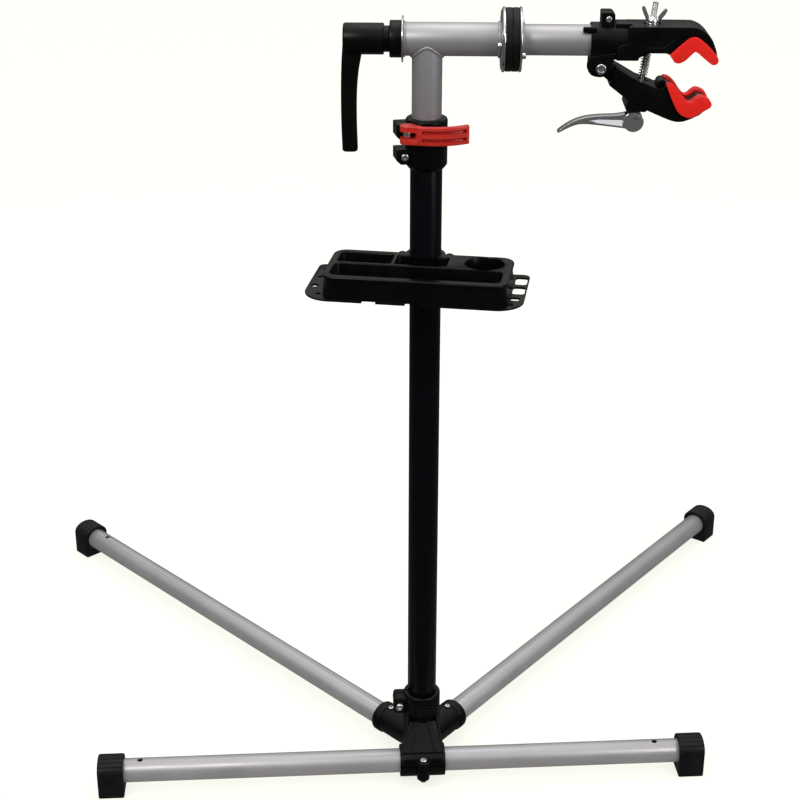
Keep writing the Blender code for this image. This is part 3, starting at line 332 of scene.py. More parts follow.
def combine(shape, tools, operation, solver="EXACT"):
    for tool in tools:
        target, helper = new_object(shape, "boolean_target"), new_object(tool, "boolean_tool")
        modifier = target.modifiers.new("boolean", "BOOLEAN")
        modifier.operation = operation
        modifier.solver = solver
        modifier.object = helper
        evaluated = target.evaluated_get(bpy.context.evaluated_depsgraph_get())
        shape = bmesh.new()
        shape.from_mesh(evaluated.to_mesh())
        evaluated.to_mesh_clear()
        for obj in (target, helper):
            mesh = obj.data
            bpy.data.objects.remove(obj, do_unlink=True)
            bpy.data.meshes.remove(mesh)
        bmesh.ops.remove_doubles(shape, verts=shape.verts, dist=0.001)
    return shape


def joined(shape, *tools, solver="EXACT"):
    return combine(shape, tools, "UNION", solver)


def cut(shape, *tools, solver="EXACT"):
    return combine(shape, tools, "DIFFERENCE", solver)


def arc(centre, radius, start, end, count):
    """Points along an arc; angles in degrees."""
    steps = [radians(start + (end - start) * i / (count - 1)) for i in range(count)]
    return [(centre[0] + radius * cos(a), centre[1] + radius * sin(a)) for a in steps]


def rounded_rectangle(low, high, radius, count=9):
    corners = [((low[0] + radius, low[1] + radius), 180), ((high[0] - radius, low[1] + radius), 270),
               ((high[0] - radius, high[1] - radius), 0), ((low[0] + radius, high[1] - radius), 90)]
    points = []
    for centre, start in corners:
        points += arc(centre, radius, start, start + 90, count)
    return points


def smooth_line(points, rounds=2):
    """Cut the corners of an open line (Chaikin), keeping its two ends."""
    for _ in range(rounds):
        finer = [points[0]]
        for (ax, ay), (bx, by) in zip(points, points[1:]):
            finer += [(ax * 0.75 + bx * 0.25, ay * 0.75 + by * 0.25),
                      (ax * 0.25 + bx * 0.75, ay * 0.25 + by * 0.75)]
        points = finer + [points[-1]]
    return points


def bead(path, radius, ripple=0.25, waves=60, sides=12):
    """A weld bead swept along a closed path of points, with ripples along it."""
    centre = sum(path, Vector()) / len(path)
    rings = []
    for i, point in enumerate(path):
        along = (path[(i + 1) % len(path)] - path[i - 1]).normalized()
        out = (point - centre).normalized()
        out = (out - along * out.dot(along)).normalized()
        side = along.cross(out)
        phase = 2 * pi * waves * i / len(path)
        size = radius * (1 - ripple + ripple * abs(sin(phase / 2)))
        rings.append([point + (out * cos(a) + side * sin(a)) * size
                      for a in (2 * pi * k / sides for k in range(sides))])
    return loft(rings, closed=True)


# ---- placing pieces
TO_METRES = Matrix.Scale(0.001, 4)


def place(name, shape, node, local, bevel=0, sharp=40, replaced=True):
    """Turn a bmesh into a piece that stands for a node, or that is an extra detail on it."""
    obj = new_object(shape, name)
    mesh = obj.data
    mesh.transform(TO_METRES)
    obj.matrix_world = TO_METRES @ local @ TO_METRES.inverted()
    mesh.materials.append(FINISH[SLOT_OF[node]])
    mesh.shade_smooth()
    mesh.set_sharp_from_angle(angle=radians(sharp))
    if bevel:
        modifier = obj.modifiers.new("edge", "BEVEL")
        modifier.width = bevel / 1000
        modifier.segments = 2
        modifier.limit_method = "ANGLE"
        modifier.angle_limit = radians(42)
        modifier.harden_normals = True
    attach(obj, BODY_OF[node])
    if replaced:
        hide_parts(node)
    return obj


def add(node, part, shape, local, bevel=0, sharp=40):
    """Place the main piece of a node, named after it."""
    return place(f"{node}_{part}", shape, node, local, bevel, sharp)


FRONT = Matrix.Rotation(pi / 2, 4, "X")  # local +Z to -Y
BACK = Matrix.Rotation(-pi / 2, 4, "X")
RIGHT = Matrix.Rotation(pi / 2, 4, "Y")
LEFT = Matrix.Rotation(-pi / 2, 4, "Y")
DOWN = Matrix.Rotation(pi, 4, "X")
FOOT_TURN = Matrix(((0, 0, 1, 0), (1, 0, 0, 0), (0, 1, 0, 0), (0, 0, 0, 1)))


def shifted(local, point, turn=None):
    matrix = local @ Matrix.Translation(point)
    return matrix @ turn if turn else matrix


def hexagon(flats):
    return arc((0, 0), flats / 2 / cos(pi / 6), 0, 300, 6)


def screw(head_radius, head_height, shaft_radius, length):
    """A rounded screw head with a hexagon socket, standing on 0 with its shaft below."""
    crown = arc((head_radius - head_height * 0.45, head_height * 0.55), head_height * 0.45, 0, 90, 6)
    profile = [(0, head_height)] + crown[::-1]
    profile += [(head_radius, 0), (shaft_radius, 0), (shaft_radius, -length + 0.6),
                (shaft_radius - 0.6, -length), (0, -length)]
    socket = plate(hexagon(head_radius), head_height * 0.35, head_height + 2)
    return cut(turned(profile, 40), socket)


def nut(flats, height, hole):
    """A hexagon nut with chamfered corners, standing on 0."""
    body = plate(hexagon(flats), 0, height)
    bore = upright(0, 0, -1, height + 1, hole, 28)
    return softened(cut(body, bore), height * 0.1, 2, 50)


def threaded(radius, start, end, pitch=1, depth=0.45, sides=24, per_turn=6):
    """A threaded length along Z with a true helix."""
    rows = int((end - start) / pitch * per_turn)
    rings = []
    for row in range(rows + 1):
        height = start + (end - start) * row / rows
        points = []
        for side in range(sides):
            angle = 2 * pi * side / sides
            phase = (height / pitch - side / sides) % 1
            points.append((height, angle, radius - depth * (1 - abs(2 * phase - 1))))
        rings.append([(r * cos(a), r * sin(a), z) for z, a, r in points])
    return loft(rings)


def add_screw(node, local, *sizes):
    add(node, "head", screw(*sizes), local)


def add_nut(node, local, *sizes):
    add(node, "hex", nut(*sizes), local)


# ---- base
CROSS_LOW, CROSS_HIGH = (in_frame(STAND, corner) for corner in node_box("front_cross_tube"))
LEG_RADIUS = (CROSS_HIGH.z - CROSS_LOW.z) / 2
LEG_HEIGHT = (CROSS_HIGH.z + CROSS_LOW.z) / 2
CROSS_Y = (CROSS_HIGH.y + CROSS_LOW.y) / 2
LEG_WALL = 1.5
REAR_LEFT, REAR_RIGHT = radians(40.03), radians(41.05)  # rear legs, from straight back
REAR_START = 36  # inner end of a rear tube, from the mast axis
REAR_END = 813.3  # outer end of a rear foot
REAR_SCREW, SOCKET_MOUTH = 60.3, 78
FOOT_LENGTH, FOOT_WIDTH, FOOT_HEIGHT, FOOT_WALL = 34, 42, 51.5, 4.8
FOOT_SHOULDER = 36.5  # height where a foot's arched top begins
HOLE_LEFT, HOLE_RIGHT, HOLE_REAR = 50.6, 60.7, 62.4
POST_LOW, POST_HIGH = (in_frame(STAND, corner) for corner in node_box("outer_post"))
POST_RADIUS, POST_BORE = POST_HIGH.x, 17.8
HUB_TOP = node_box("base_hub")[1].z
HUB_RADIUS, BLOCK_X, BLOCK_RADIUS, BLOCK_HALF = 24.5, -2.5, 21.5, 30
BOSS_Y, BOSS_RADIUS, SPLIT_Z = -69.5, 8.4, 33
BOSS_LOW, BOSS_HIGH = 16.5, 43.8


def rear_heading(side):
    """Direction of a rear leg, outwards; side is -1 for left and +1 for right."""
    return pi / 2 + REAR_LEFT if side < 0 else pi / 2 - REAR_RIGHT


def rear_matrix(side, distance, height=0):
    """A frame on a rear leg whose +X runs outwards."""
    heading = rear_heading(side)
    point = (distance * cos(heading), distance * sin(heading), height)
    return STAND @ at(point, heading)


def leg_tube(node, local, length, end_holes, screw_at=None):
    shape = along_x(ring(LEG_RADIUS, LEG_RADIUS - LEG_WALL, length, 0.5))
    holes = [upright(x, 0, 5, 25, 3.8, 40) for x in end_holes]
    if screw_at:
        holes.append(upright(screw_at, 0, 5, 25, 2.4, 24))
    add(node, "body", cut(shape, *holes) if holes else shape, local)


def foot(node, local):
    """A rubber end block with an arched, ribbed top, its outer end at 0."""
    half, rise = FOOT_WIDTH / 2, FOOT_HEIGHT - FOOT_SHOULDER
    arch = [(half * cos(a), FOOT_SHOULDER + rise * sin(a)) for a in (pi * i / 44 for i in range(45))]
    shape = moved(plate([(-half, 0), (half, 0)] + arch, 0, FOOT_LENGTH), FOOT_TURN)
    shape = softened(shape, 2, 4, 60)
    cutters = [lengthwise(FOOT_WALL, 50, LEG_RADIUS + GAP, 64, z=LEG_HEIGHT)]
    for degree in (18, 40, 61, 80, 100, 119, 140, 162):
        y, z = half * cos(radians(degree)), FOOT_SHOULDER + rise * sin(radians(degree))
        cutters.append(lengthwise(-1, 40, 1, 14, y, z))
    add(node, "block", cut(shape, *cutters), local, bevel=0.3)


def make_legs():
    inset = FOOT_WALL + GAP
    left, right = CROSS_LOW.x - inset, CROSS_HIGH.x + inset
    length = CROSS_HIGH.x - CROSS_LOW.x
    leg_tube("front_cross_tube", shifted(STAND, (CROSS_LOW.x, CROSS_Y, LEG_HEIGHT)), length,
             (HOLE_LEFT, length - HOLE_RIGHT))
    foot("front_left_foot", shifted(STAND, (left, CROSS_Y, 0)))
    foot("front_right_foot", shifted(STAND, (right, CROSS_Y, 0), Matrix.Rotation(pi, 4, "Z")))
    for side, name in ((-1, "rear_left"), (1, "rear_right")):
        length = REAR_END - inset - REAR_START
        leg_tube(name + "_leg_tube", rear_matrix(side, REAR_START, LEG_HEIGHT), length,
                 (length - HOLE_REAR,) if side < 0 else (), REAR_SCREW - REAR_START)
        foot(name + "_foot", rear_matrix(side, REAR_END) @ Matrix.Rotation(pi, 4, "Z"))
        add_screw(name + "_leg_screw", rear_matrix(side, REAR_SCREW, LEG_HEIGHT + 19.6 + GAP),
                  3.8, 2.2, 2, 9.5)


def socket_barrel(side):
    """One rear socket: a barrel with a thicker rolled mouth."""
    turn = Matrix.Rotation(rear_heading(side), 4, "Z") @ RIGHT
    barrel = turned([
        (0, 4), (19.6, 4), (19.6, SOCKET_MOUTH - 13), (20.3, SOCKET_MOUTH - 12.6),
        (21, SOCKET_MOUTH - 11.6), (21, SOCKET_MOUTH - 1.6), (20.5, SOCKET_MOUTH - 0.5),
        (19.6, SOCKET_MOUTH), (0, SOCKET_MOUTH)], 72)
    return moved(barrel, Matrix.Translation((0, 0, LEG_HEIGHT)) @ turn)


def make_hub():
    column = turned([
        (0, 12), (HUB_RADIUS, 12), (HUB_RADIUS, HUB_TOP - 2.2), (HUB_RADIUS - 0.7, HUB_TOP - 0.7),
        (HUB_RADIUS - 2.2, HUB_TOP), (0, HUB_TOP)], 96)
    wide = BLOCK_HALF - 1
    slope = hull([(sx * 20, y, 74) for sx in (-1, 1) for y in (-10, -22.5)]
                 + [(BLOCK_X + sx * wide, -59, 50) for sx in (-1, 1)]
                 + [(BLOCK_X + sx * wide, y, 12) for sx in (-1, 1) for y in (-59, -10)])
    slope = softened(slope, 1.8)
    block = lengthwise(BLOCK_X - BLOCK_HALF, BLOCK_X + BLOCK_HALF, BLOCK_RADIUS, 72, CROSS_Y, LEG_HEIGHT)
    block = softened(block, 1.2)
    boss = softened(upright(BLOCK_X, BOSS_Y, BOSS_LOW, BOSS_HIGH, BOSS_RADIUS), 1)
    web = box((BLOCK_X - BOSS_RADIUS, BOSS_Y, BOSS_LOW + 0.5),
              (BLOCK_X + BOSS_RADIUS, -55, BOSS_HIGH - 0.5))
    ear = softened(box((-38.5, -12.5, 80), (-15, 12.5, 106)), 4.5, 5)
    ear_ring = softened(across(-30.5, 93.5, 13.2, 8.2), 0.6, 2)
    ribs = []
    for top, low in ((-8, -19), (5, 13)):
        corners = ((top, -23.2, 76.5), (low, -59, 54), (top, -20, 66), (low, -56, 46))
        ribs.append(hull([(x + thick, y, z) for x, y, z in corners for thick in (0, 1.2)]))
    walls = [hull([(sx * x, y, z) for y, z in ((-13, 80), (-21.5, 79)) for x in (20.2, 18.6)]
                  + [(BLOCK_X + sx * x, y, z) for y, z in ((-61.5, 50), (-50, 30))
                     for x in (wide, wide - 1.8)]) for sx in (-1, 1)]
    panel = [softened(box((-12.5, -24.9, z), (12.5, -20, z + 1.1)), 0.3, 1) for z in (84, 88, 92, 96)]
    shape = joined(column, slope, block, boss, web, ear, ear_ring, socket_barrel(-1), socket_barrel(1),
                   *ribs, *walls, *panel)
    clear = LEG_RADIUS + GAP
    pockets = [softened(box((BLOCK_X + x, -80, 35.2), (BLOCK_X + x + 15, -64, 47)), 1, 2)
               for x in (-25.5, 10.5)]
    cuts = [upright(0, 0, POST_LOW.z - GAP, 120, POST_RADIUS + GAP, 96),
            lengthwise(-60, 60, clear, 80, CROSS_Y, LEG_HEIGHT), box((-45, -1.2, 62), (-10, 1.2, 120)),
            across(-30.5, 93.5, 20, 3.1, 32), box((-45, -85, SPLIT_Z - 0.7), (45, CROSS_Y, SPLIT_Z + 0.7)),
            upright(BLOCK_X, BOSS_Y, 10, 55, 2.9, 32)] + pockets
    for side in (-1, 1):
        on_leg = STAND.inverted() @ rear_matrix(side, 0, LEG_HEIGHT)
        cuts += [moved(lengthwise(REAR_START - GAP, 110, clear, 80), on_leg),
                 moved(upright(REAR_SCREW, 0, 0, 30, 2.4, 28), on_leg)]
    add("base_hub", "casting", cut(shape, *cuts), STAND, bevel=0.4)
    front = -12.5 - GAP
    add_screw("hub_clamp_bolt", shifted(STAND, (-30.5, front - 0.7, 93.5), FRONT), 5.5, 5, 2.8, 32)
    add_nut("hub_clamp_nut", shifted(STAND, (-30.5, -front + 0.7, 93.5), BACK), 9.5, 4.5, 3.1)
    add_screw("cross_tube_bolt", shifted(STAND, (BLOCK_X, BOSS_Y, BOSS_HIGH + GAP)), 5, 3.2, 2.6, 33.5)
    add_nut("cross_tube_nut", shifted(STAND, (BLOCK_X, BOSS_Y, BOSS_LOW - GAP), DOWN), 8.5, 4, 2.9)


def make_post():
    add("outer_post", "tube", ring(POST_RADIUS, POST_BORE, POST_HIGH.z - POST_LOW.z, 0.5, 96),
        shifted(STAND, (0, 0, POST_LOW.z)))


# ---- mast collar and its lever
MAST_RADIUS, MAST_BORE = 17.5, 16
COLLAR_LOW, COLLAR_HIGH = (corner.z - COLLAR.translation.z for corner in node_box("mast_collar"))
COLLAR_RADIUS = 24.6
SKEWER_X, SCREW_DROP = -27.5, -29.3


def make_collar():
    low, high = COLLAR_LOW, COLLAR_HIGH
    step = POST_HIGH.z + GAP - COLLAR.translation.z
    lip = arc((COLLAR_RADIUS - 3.6, high - 3.6), 3.6, 0, 90, 8)
    body = turned([
        (POST_RADIUS + GAP, low), (COLLAR_RADIUS - 4.5, low), (COLLAR_RADIUS - 0.4, low + 5),
        (COLLAR_RADIUS, low + 6)] + lip + [(MAST_RADIUS + GAP, high), (MAST_RADIUS + GAP, step),
        (POST_RADIUS + GAP, step)], 96)
    lower = [(-37.6, SCREW_DROP - 5), (-32.5, SCREW_DROP - 9.8), (-20, SCREW_DROP - 9.8),
             (-20, SCREW_DROP + 8), (-37.6, SCREW_DROP + 8)]
    upper = [(-37.6, -6), (-31.8, -10.8), (-20, -10.8), (-20, 9), (-37.6, 9)]
    ears = [slab(outline, 12.5, 1.2) for outline in (lower, upper)]
    shape = cut(joined(body, *ears), box((-45, -1.2, low - 2), (-10, 1.2, high + 2)),
                across(-28.5, SCREW_DROP, 20, 2.8, 28), across(SKEWER_X, 0, 20, 2.8, 28))
    add("mast_collar", "shell", shape, COLLAR, bevel=0.3)
    front = -12.5 - GAP
    add_screw("collar_screw", shifted(COLLAR, (-28.5, front, SCREW_DROP), FRONT), 4.7, 4.5, 2.5, 30.5)
    add_nut("collar_nut", shifted(COLLAR, (-28.5, -front, SCREW_DROP), BACK), 8, 4, 2.8)
    skewer = joined(upright(0, 0, -30, 5, 2.5, 32), softened(across(0, 9.2, 3.1, 5, 40), 0.4, 2))
    skewer = cut(skewer, across(0, 9.2, 10, 2.4 + GAP, 28))
    add("qr_skewer", "eye", skewer, shifted(COLLAR, (SKEWER_X, front, 0), FRONT))
    add_nut("qr_skewer_nut", shifted(COLLAR, (SKEWER_X, -front, 0), BACK), 8, 4.5, 2.8)
    pin = softened(upright(0, 0, -10.8, 10.8, 2, 32), 0.3, 2)
    add("qr_pivot_pin", "rod", pin, QR)


def make_quick_release():
    """The red lever: a curved band that wraps the collar, with two grooves and a pin pocket."""
    pin = in_frame(COLLAR, QR.translation)
    centre = (14.6 - pin.x, 23.8 - pin.y)
    rings = []
    for i in range(41):
        angle = radians(239 + 55 * i / 40)
        section = rounded_rectangle((61.2, -11), (67.1, 11), 1.4, 4)
        rings.append([(centre[0] + r * cos(angle), centre[1] + r * sin(angle), z) for r, z in section])
    head = softened(upright(0, 0, -11, 11, 8.6, 56), 1.4)
    throat = hull([
        (x, y, z) for x, y in ((-4, -7.5), (4, 6), (15, -6), (12, -13.8)) for z in (-10.8, 10.8)])
    shape = joined(softened(throat, 0.8, 2), head, loft(rings))
    slot = box((-20, -20, -4), (8.5, 20, 4))
    grooves = []
    for z in (-4.6, 4.6):
        outline = arc(centre, 68.5, 245, 291.5, 28) + arc(centre, 62.4, 291.5, 245, 28)
        grooves.append(softened(plate(outline, z - 2.1, z + 2.1), 0.5, 2, 50))
    pin_hole = upright(0, 0, -20, 20, 2 + GAP, 32)
    add("qr_lever", "paddle", cut(shape, slot, pin_hole, *grooves), QR, bevel=0.3)


# ---- tool tray
TRAY_HALF_X, TRAY_FRONT, TRAY_BACK, TRAY_DEPTH = 106.5, -101.5, -4.5, 30
FLANGE_LEFT, FLANGE_RIGHT = -132, 125.5
FLANGE_FRONT, FLANGE_BACK, FLANGE_THICK = -105, 16.5, 2.6
CUP_CENTRE, CUP_RADIUS = (74.3, -27.8), 23.2
SLEEVE_RADIUS = 21.8  # tray wall round the front of the post
TRAY_SCREW_X, TRAY_SCREW_DROP = 28.5, 9.5


def box_ring(low, high, radius, grow, height, count=9):
    """A rounded rectangle grown outwards, as points at one height."""
    outline = rounded_rectangle(
        (low[0] - grow, low[1] - grow), (high[0] + grow, high[1] + grow), radius + grow, count)
    return [(x, y, height) for x, y in outline]


def pocket_cutter(low, high, radius, floor):
    """A compartment with drafted walls, a rounded floor edge and a rounded brim."""
    levels = [(-3.2, floor), (-2, floor + 0.6), (-1.2, floor + 2),
              (-0.2, -2), (0.2, -1), (1, -0.2), (1.8, 0.1), (1.8, 10)]
    return loft([box_ring(low, high, radius, grow, height) for grow, height in levels])


def tray_flange_outline():
    """From the back right corner round the front to the back left corner."""
    wide, tight = 32, 8
    points = [(98, FLANGE_BACK - 0.5)]
    points += arc((FLANGE_RIGHT - tight, FLANGE_BACK - tight), tight, 90, 0, 10)
    points += arc((FLANGE_RIGHT - wide, FLANGE_FRONT + wide), wide, 0, -90, 24)
    points += arc((FLANGE_LEFT + wide, FLANGE_FRONT + wide), wide, -90, -180, 24)
    points += arc((FLANGE_LEFT + tight, FLANGE_BACK - tight), tight, 180, 90, 10)
    return points + [(-98, FLANGE_BACK - 0.5)]


def tray_rod(side, start, end, radius, segments=48):
    """A rod along Y on the axis of one of the tray's two screws."""
    x, z = side * TRAY_SCREW_X, -TRAY_SCREW_DROP
    return rod((x, start, z), (x, end, z), radius, segments)


def make_tray():
    floor, skin = -TRAY_DEPTH, -TRAY_DEPTH + FLANGE_THICK
    low, high, radius = (-TRAY_HALF_X, TRAY_FRONT), (TRAY_HALF_X, TRAY_BACK), 14
    levels = [(2.2, floor), (1.4, -20), (0, -6.2), (0.2, -4.8), (1.4, -4.2),
              (1.8, -3.4), (1.8, -1.6), (1.3, -0.6), (0.3, 0), (-1.2, 0)]
    body = loft([box_ring(low, high, radius, grow, height) for grow, height in levels])
    flange = softened(plate(tray_flange_outline(), floor, skin), 0.7, 2, 50)
    saddle = softened(upright(0, 0, floor, -0.5, SLEEVE_RADIUS, 72), 0.6, 2)
    ears = softened(box((-36, -10, -17), (36, 0, -2)), 2)
    shape = joined(body, flange, saddle, ears)
    middle = pocket_cutter((-30.5, -45.8), (30.5, -13.8), 4, skin)
    cuts = [pocket_cutter((-100.2, -92.6), (98.4, -51.1), 9, skin),
            pocket_cutter((-99.1, -45.8), (-35.7, -10.8), 5, skin),
            cut(middle, upright(0, 0, floor, 20, SLEEVE_RADIUS, 96))]
    brim = turned([
        (0, skin), (CUP_RADIUS - 3, skin), (CUP_RADIUS - 0.8, skin + 1.8), (CUP_RADIUS - 0.3, -2),
        (CUP_RADIUS + 0.3, -0.8), (CUP_RADIUS + 1.4, 0.1), (CUP_RADIUS + 1.4, 10), (0, 10)], 80)
    cuts.append(moved(brim, Matrix.Translation((*CUP_CENTRE, 0))))
    wall = 2.8
    below = plate(
        rounded_rectangle((35.2, -48.5), (TRAY_HALF_X - wall, TRAY_BACK - wall), 6), floor - 5, -wall)
    cup_wall = rod((*CUP_CENTRE, floor - 10), (*CUP_CENTRE, 0), CUP_RADIUS + wall, 72)
    cuts += [cut(below, cup_wall), upright(0, 0, floor - 5, 10, POST_RADIUS + 0.4, 96),
             box((-50, -GAP, floor - 5), (50, 60, 10))]
    slots = [((109.2, -19.5), (123.6, 6), 4), ((108.9, -51.8), (123.6, -27.5), 4),
             ((109.2, -73.5), (119.6, -63), 3)]
    cuts += [plate(rounded_rectangle(near, far, corner), floor - 5, skin + 5)
             for near, far, corner in slots]
    holes = ((-124, 0, 2.2), (-123, -29, 3.2), (-123.5, -59.2, 4.6), (-114, -86.2, 3.4), (111.8, -88, 3))
    cuts += [upright(x, y, floor - 5, skin + 5, radius, 36) for x, y, radius in holes]
    cuts += [box((left, -120, floor - 5), (right, -97.5, floor + 5))
             for left, right in ((-60, -43.5), (-9.5, 6.5))]
    cuts += [tray_rod(side, -8.5, 10, 2.6, 28) for side in (-1, 1)]
    add("tool_tray", "moulding", cut(shape, *cuts), TRAY, bevel=0.35)


def make_tray_clamp():
    top, bottom = -1, -TRAY_DEPTH
    reach, drop = TRAY_SCREW_X, TRAY_SCREW_DROP
    shell = softened(upright(0, 0, bottom, top, POST_RADIUS + 5.2, 72), 1)
    ears = [softened(tray_rod(side, -1, 8, 7.5), 0.9) for side in (-1, 1)]
    bridge = softened(box((-reach, -1, -drop - 6), (reach, 6.5, -drop + 6)), 0.8, 2)
    ribs = [softened(box((x - 0.8, -1, bottom + 1), (x + 0.8, 25.5, -drop - 2)), 0.3, 1)
            for x in (-10, 10)]
    cuts = [upright(0, 0, bottom - 5, top + 5, POST_RADIUS + 0.4, 96),
            box((-60, -60, bottom - 5), (60, GAP, top + 10))]
    cuts += [tray_rod(side, -5, 20, 2.6, 28) for side in (-1, 1)]
    add("tray_clamp", "shell", cut(joined(shell, bridge, *ears, *ribs), *cuts), TRAY, bevel=0.3)
    for side, name in ((-1, "tray_clamp_screw_left"), (1, "tray_clamp_screw_right")):
        add_screw(name, shifted(TRAY, (side * reach, 8 + GAP, -drop), BACK), 4.8, 4.6, 2.3, 14.5)


# ---- mast, tee and friction joint
TEE_LEFT, TEE_RIGHT, TEE_RADIUS, TEE_BORE = -27, 82.7, 19, 17.2
MAST_LOW = node_box("mast_tube")[0].z - ARM.translation.z
ROD_RADIUS = 4
FLANGE_RADIUS, DISC_RADIUS, SCREW_CIRCLE = 36.5, 35.8, 27.8
DISHED, DISC_THICK, PLATE_THICK = 4.6, 7.7, 3
ARM_RADIUS, ARM_BORE, ARM_START, ARM_END = 17.5, 15.8, 107.2, 232


def circle_path(radius, along, count=180):
    return [Vector((along, radius * cos(a), radius * sin(a)))
            for a in (2 * pi * i / count for i in range(count))]


def weld(name, node, path, radius, ripple, waves):
    place(name, bead(path, radius, ripple, waves), node, ARM, replaced=False)


def make_mast():
    tube = moved(
        ring(MAST_RADIUS, MAST_BORE, -MAST_LOW - 4, 0.4, 96), Matrix.Translation((0, 0, MAST_LOW)))
    cope = lengthwise(-50, 50, TEE_RADIUS + GAP, 96)
    add("mast_tube", "body", cut(tube, cope), ARM)
    add("tee_tube", "body", along_x(ring(TEE_RADIUS, TEE_BORE, TEE_RIGHT - TEE_LEFT, 0.4, 96)),
        shifted(ARM, (TEE_LEFT, 0, 0)))
    saddle = []
    for i in range(240):
        angle = 2 * pi * i / 240
        x, y = (MAST_RADIUS + 0.5) * cos(angle), (MAST_RADIUS + 0.5) * sin(angle)
        depth = sqrt(TEE_RADIUS ** 2 - min(y * y, TEE_RADIUS ** 2 - 20))
        saddle.append(Vector((x, y, -depth - 0.3)))
    weld("tee_saddle_weld", "tee_tube", saddle, 1.7, 0.22, 64)
    weld("tee_left_weld", "tee_tube", circle_path(TEE_RADIUS + 0.3, TEE_LEFT + 0.9), 1.2, 0.2, 70)
    weld("tee_right_weld", "tee_tube", circle_path(TEE_RADIUS + 0.3, TEE_RIGHT - 1.1), 1.6, 0.22, 70)
    end = turned([
        (15.5, 0), (25.2, 0), (25.9, 0.2), (26.2, 0.6), (26.2, 1.4), (25.7, 1.8), (15.5, 1.8)], 96)
    add("tee_end_flange", "disc", along_x(end), shifted(ARM, (TEE_LEFT - GAP - 1.8, 0, 0)))
    bush = turned([(ROD_RADIUS + GAP, 0), (19.6, 0), (20.6, 0.4), (21, 1.3), (21, 13), (20.7, 13.5),
                   (15, 13.5), (15, 32), (ROD_RADIUS + GAP, 32)], 96)
    add("tee_end_bush", "ring", along_x(bush), shifted(ARM, (TEE_LEFT - 2 * GAP - 1.8 - 13.5, 0, 0)))


def plate_with_holes(profile, angles):
    shape = along_x(turned(profile, 96))
    holes = [lengthwise(-10, 20, 1.8 + GAP, 24, SCREW_CIRCLE * cos(a), SCREW_CIRCLE * sin(a))
             for a in angles]
    return cut(shape, *holes)


def make_friction_joint():
    first = TEE_RIGHT + GAP
    second = first + DISHED + GAP
    third = second + DISC_THICK + GAP
    fourth = third + DISC_THICK + GAP
    tee_side = [radians(angle) for angle in (183, 3)]
    arm_side = [radians(angle) for angle in (208, 28)]
    rim, thick = FLANGE_RADIUS, PLATE_THICK
    dished = [(10, 0), (rim - 4.4, 0), (rim - 3.6, 0.3), (rim - 0.4, 1.9),
              (rim, 2.6), (rim, DISHED - 0.6), (rim - 0.4, DISHED), (10, DISHED)]
    flat = [(10, 0), (rim - 0.6, 0), (rim, 0.5), (rim, thick - 1),
            (rim - 0.4, thick - 0.3), (rim - 1.2, thick), (10, thick)]
    deep = DISC_THICK
    liner = [(10, 0), (DISC_RADIUS - 1.2, 0), (DISC_RADIUS - 0.2, 0.5),
             (DISC_RADIUS, 1.4), (DISC_RADIUS, deep - 0.9), (DISC_RADIUS - 0.3, deep - 0.2),
             (DISC_RADIUS - 0.8, deep), (10, deep)]
    for name, profile, angles, left in (
            ("tee_friction_flange", dished, tee_side, first),
            ("friction_disc_fixed", liner, tee_side, second),
            ("friction_disc_turning", [(r, deep - z) for r, z in liner], arm_side, third),
            ("arm_friction_flange", flat, arm_side, fourth)):
        add(name, "plate", plate_with_holes(profile, angles), shifted(ARM, (left, 0, 0)))
    for prefix, angles, at_x, facing in (("tee", tee_side, first - GAP, LEFT),
                                         ("arm", arm_side, fourth + thick + GAP, RIGHT)):
        for number, angle in enumerate(angles, 1):
            spot = (at_x, SCREW_CIRCLE * cos(angle), SCREW_CIRCLE * sin(angle))
            node = f"{prefix}_flange_screw_{number}"
            add_screw(node, shifted(ARM, spot, facing), 3.6, 4.2, 1.8, 9)
    edge = circle_path(ARM_RADIUS + 0.3, fourth + thick + 1.2)
    weld("arm_left_weld", "arm_tube", edge, 1.4, 0.22, 66)


# ---- handle
def make_handle():
    hub_left, hub_right, neck_right = -95.7, -49.2, -43.2
    hub = turned([
        (0, hub_left), (15.5, hub_left), (17, hub_left + 0.6), (17.8, hub_left + 2.4),
        (17.8, hub_right - 1.2), (17.4, hub_right - 0.3), (16.6, hub_right), (14.8, hub_right),
        (14.8, neck_right - 0.5), (14.3, neck_right), (0, neck_right)], 80)
    stations = 44
    outer = smooth_line([
        (-95.5, 6), (-97.2, -15), (-98.5, -40), (-99, -70), (-98.8, -100), (-97.8, -129)])
    inner = smooth_line([
        (-71.5, 6), (-72.2, -8), (-75.2, -20), (-78.8, -40), (-80.6, -65), (-80.8, -95), (-79.8, -129)])

    def edge_at(line, height):
        for (x1, z1), (x2, z2) in zip(line, line[1:]):
            if z2 <= height <= z1:
                return x1 + (x2 - x1) * (z1 - height) / (z1 - z2)
        return line[-1][0]

    rings = []
    for i in range(stations + 4):
        share = min(i / stations, 1)
        height = 5 - share * (5 + 128.3)
        left, right = edge_at(outer, height), edge_at(inner, height)
        half_x, half_y = (right - left) / 2, 10
        if i > stations:
            step = i - stations
            height -= (0.9, 1.5, 1.8)[step - 1]
            half_x -= (0.4, 1.2, 2.6)[step - 1]
            half_y -= (0.4, 1.2, 2.6)[step - 1]
        points = []
        for k in range(48):
            angle = 2 * pi * k / 48
            ca, sa = cos(angle), sin(angle)
            x = (left + right) / 2 + half_x * abs(ca) ** 0.55 * (1 if ca >= 0 else -1)
            y = half_y * abs(sa) ** 0.55 * (1 if sa >= 0 else -1)
            points.append((x, y, height))
        rings.append(points)
    shape = joined(along_x(hub), loft(rings))
    shape = cut(shape, lengthwise(-80, -30, ROD_RADIUS + GAP, 40))
    add("handle", "grip", shape, ARM, bevel=0.5, sharp=50)


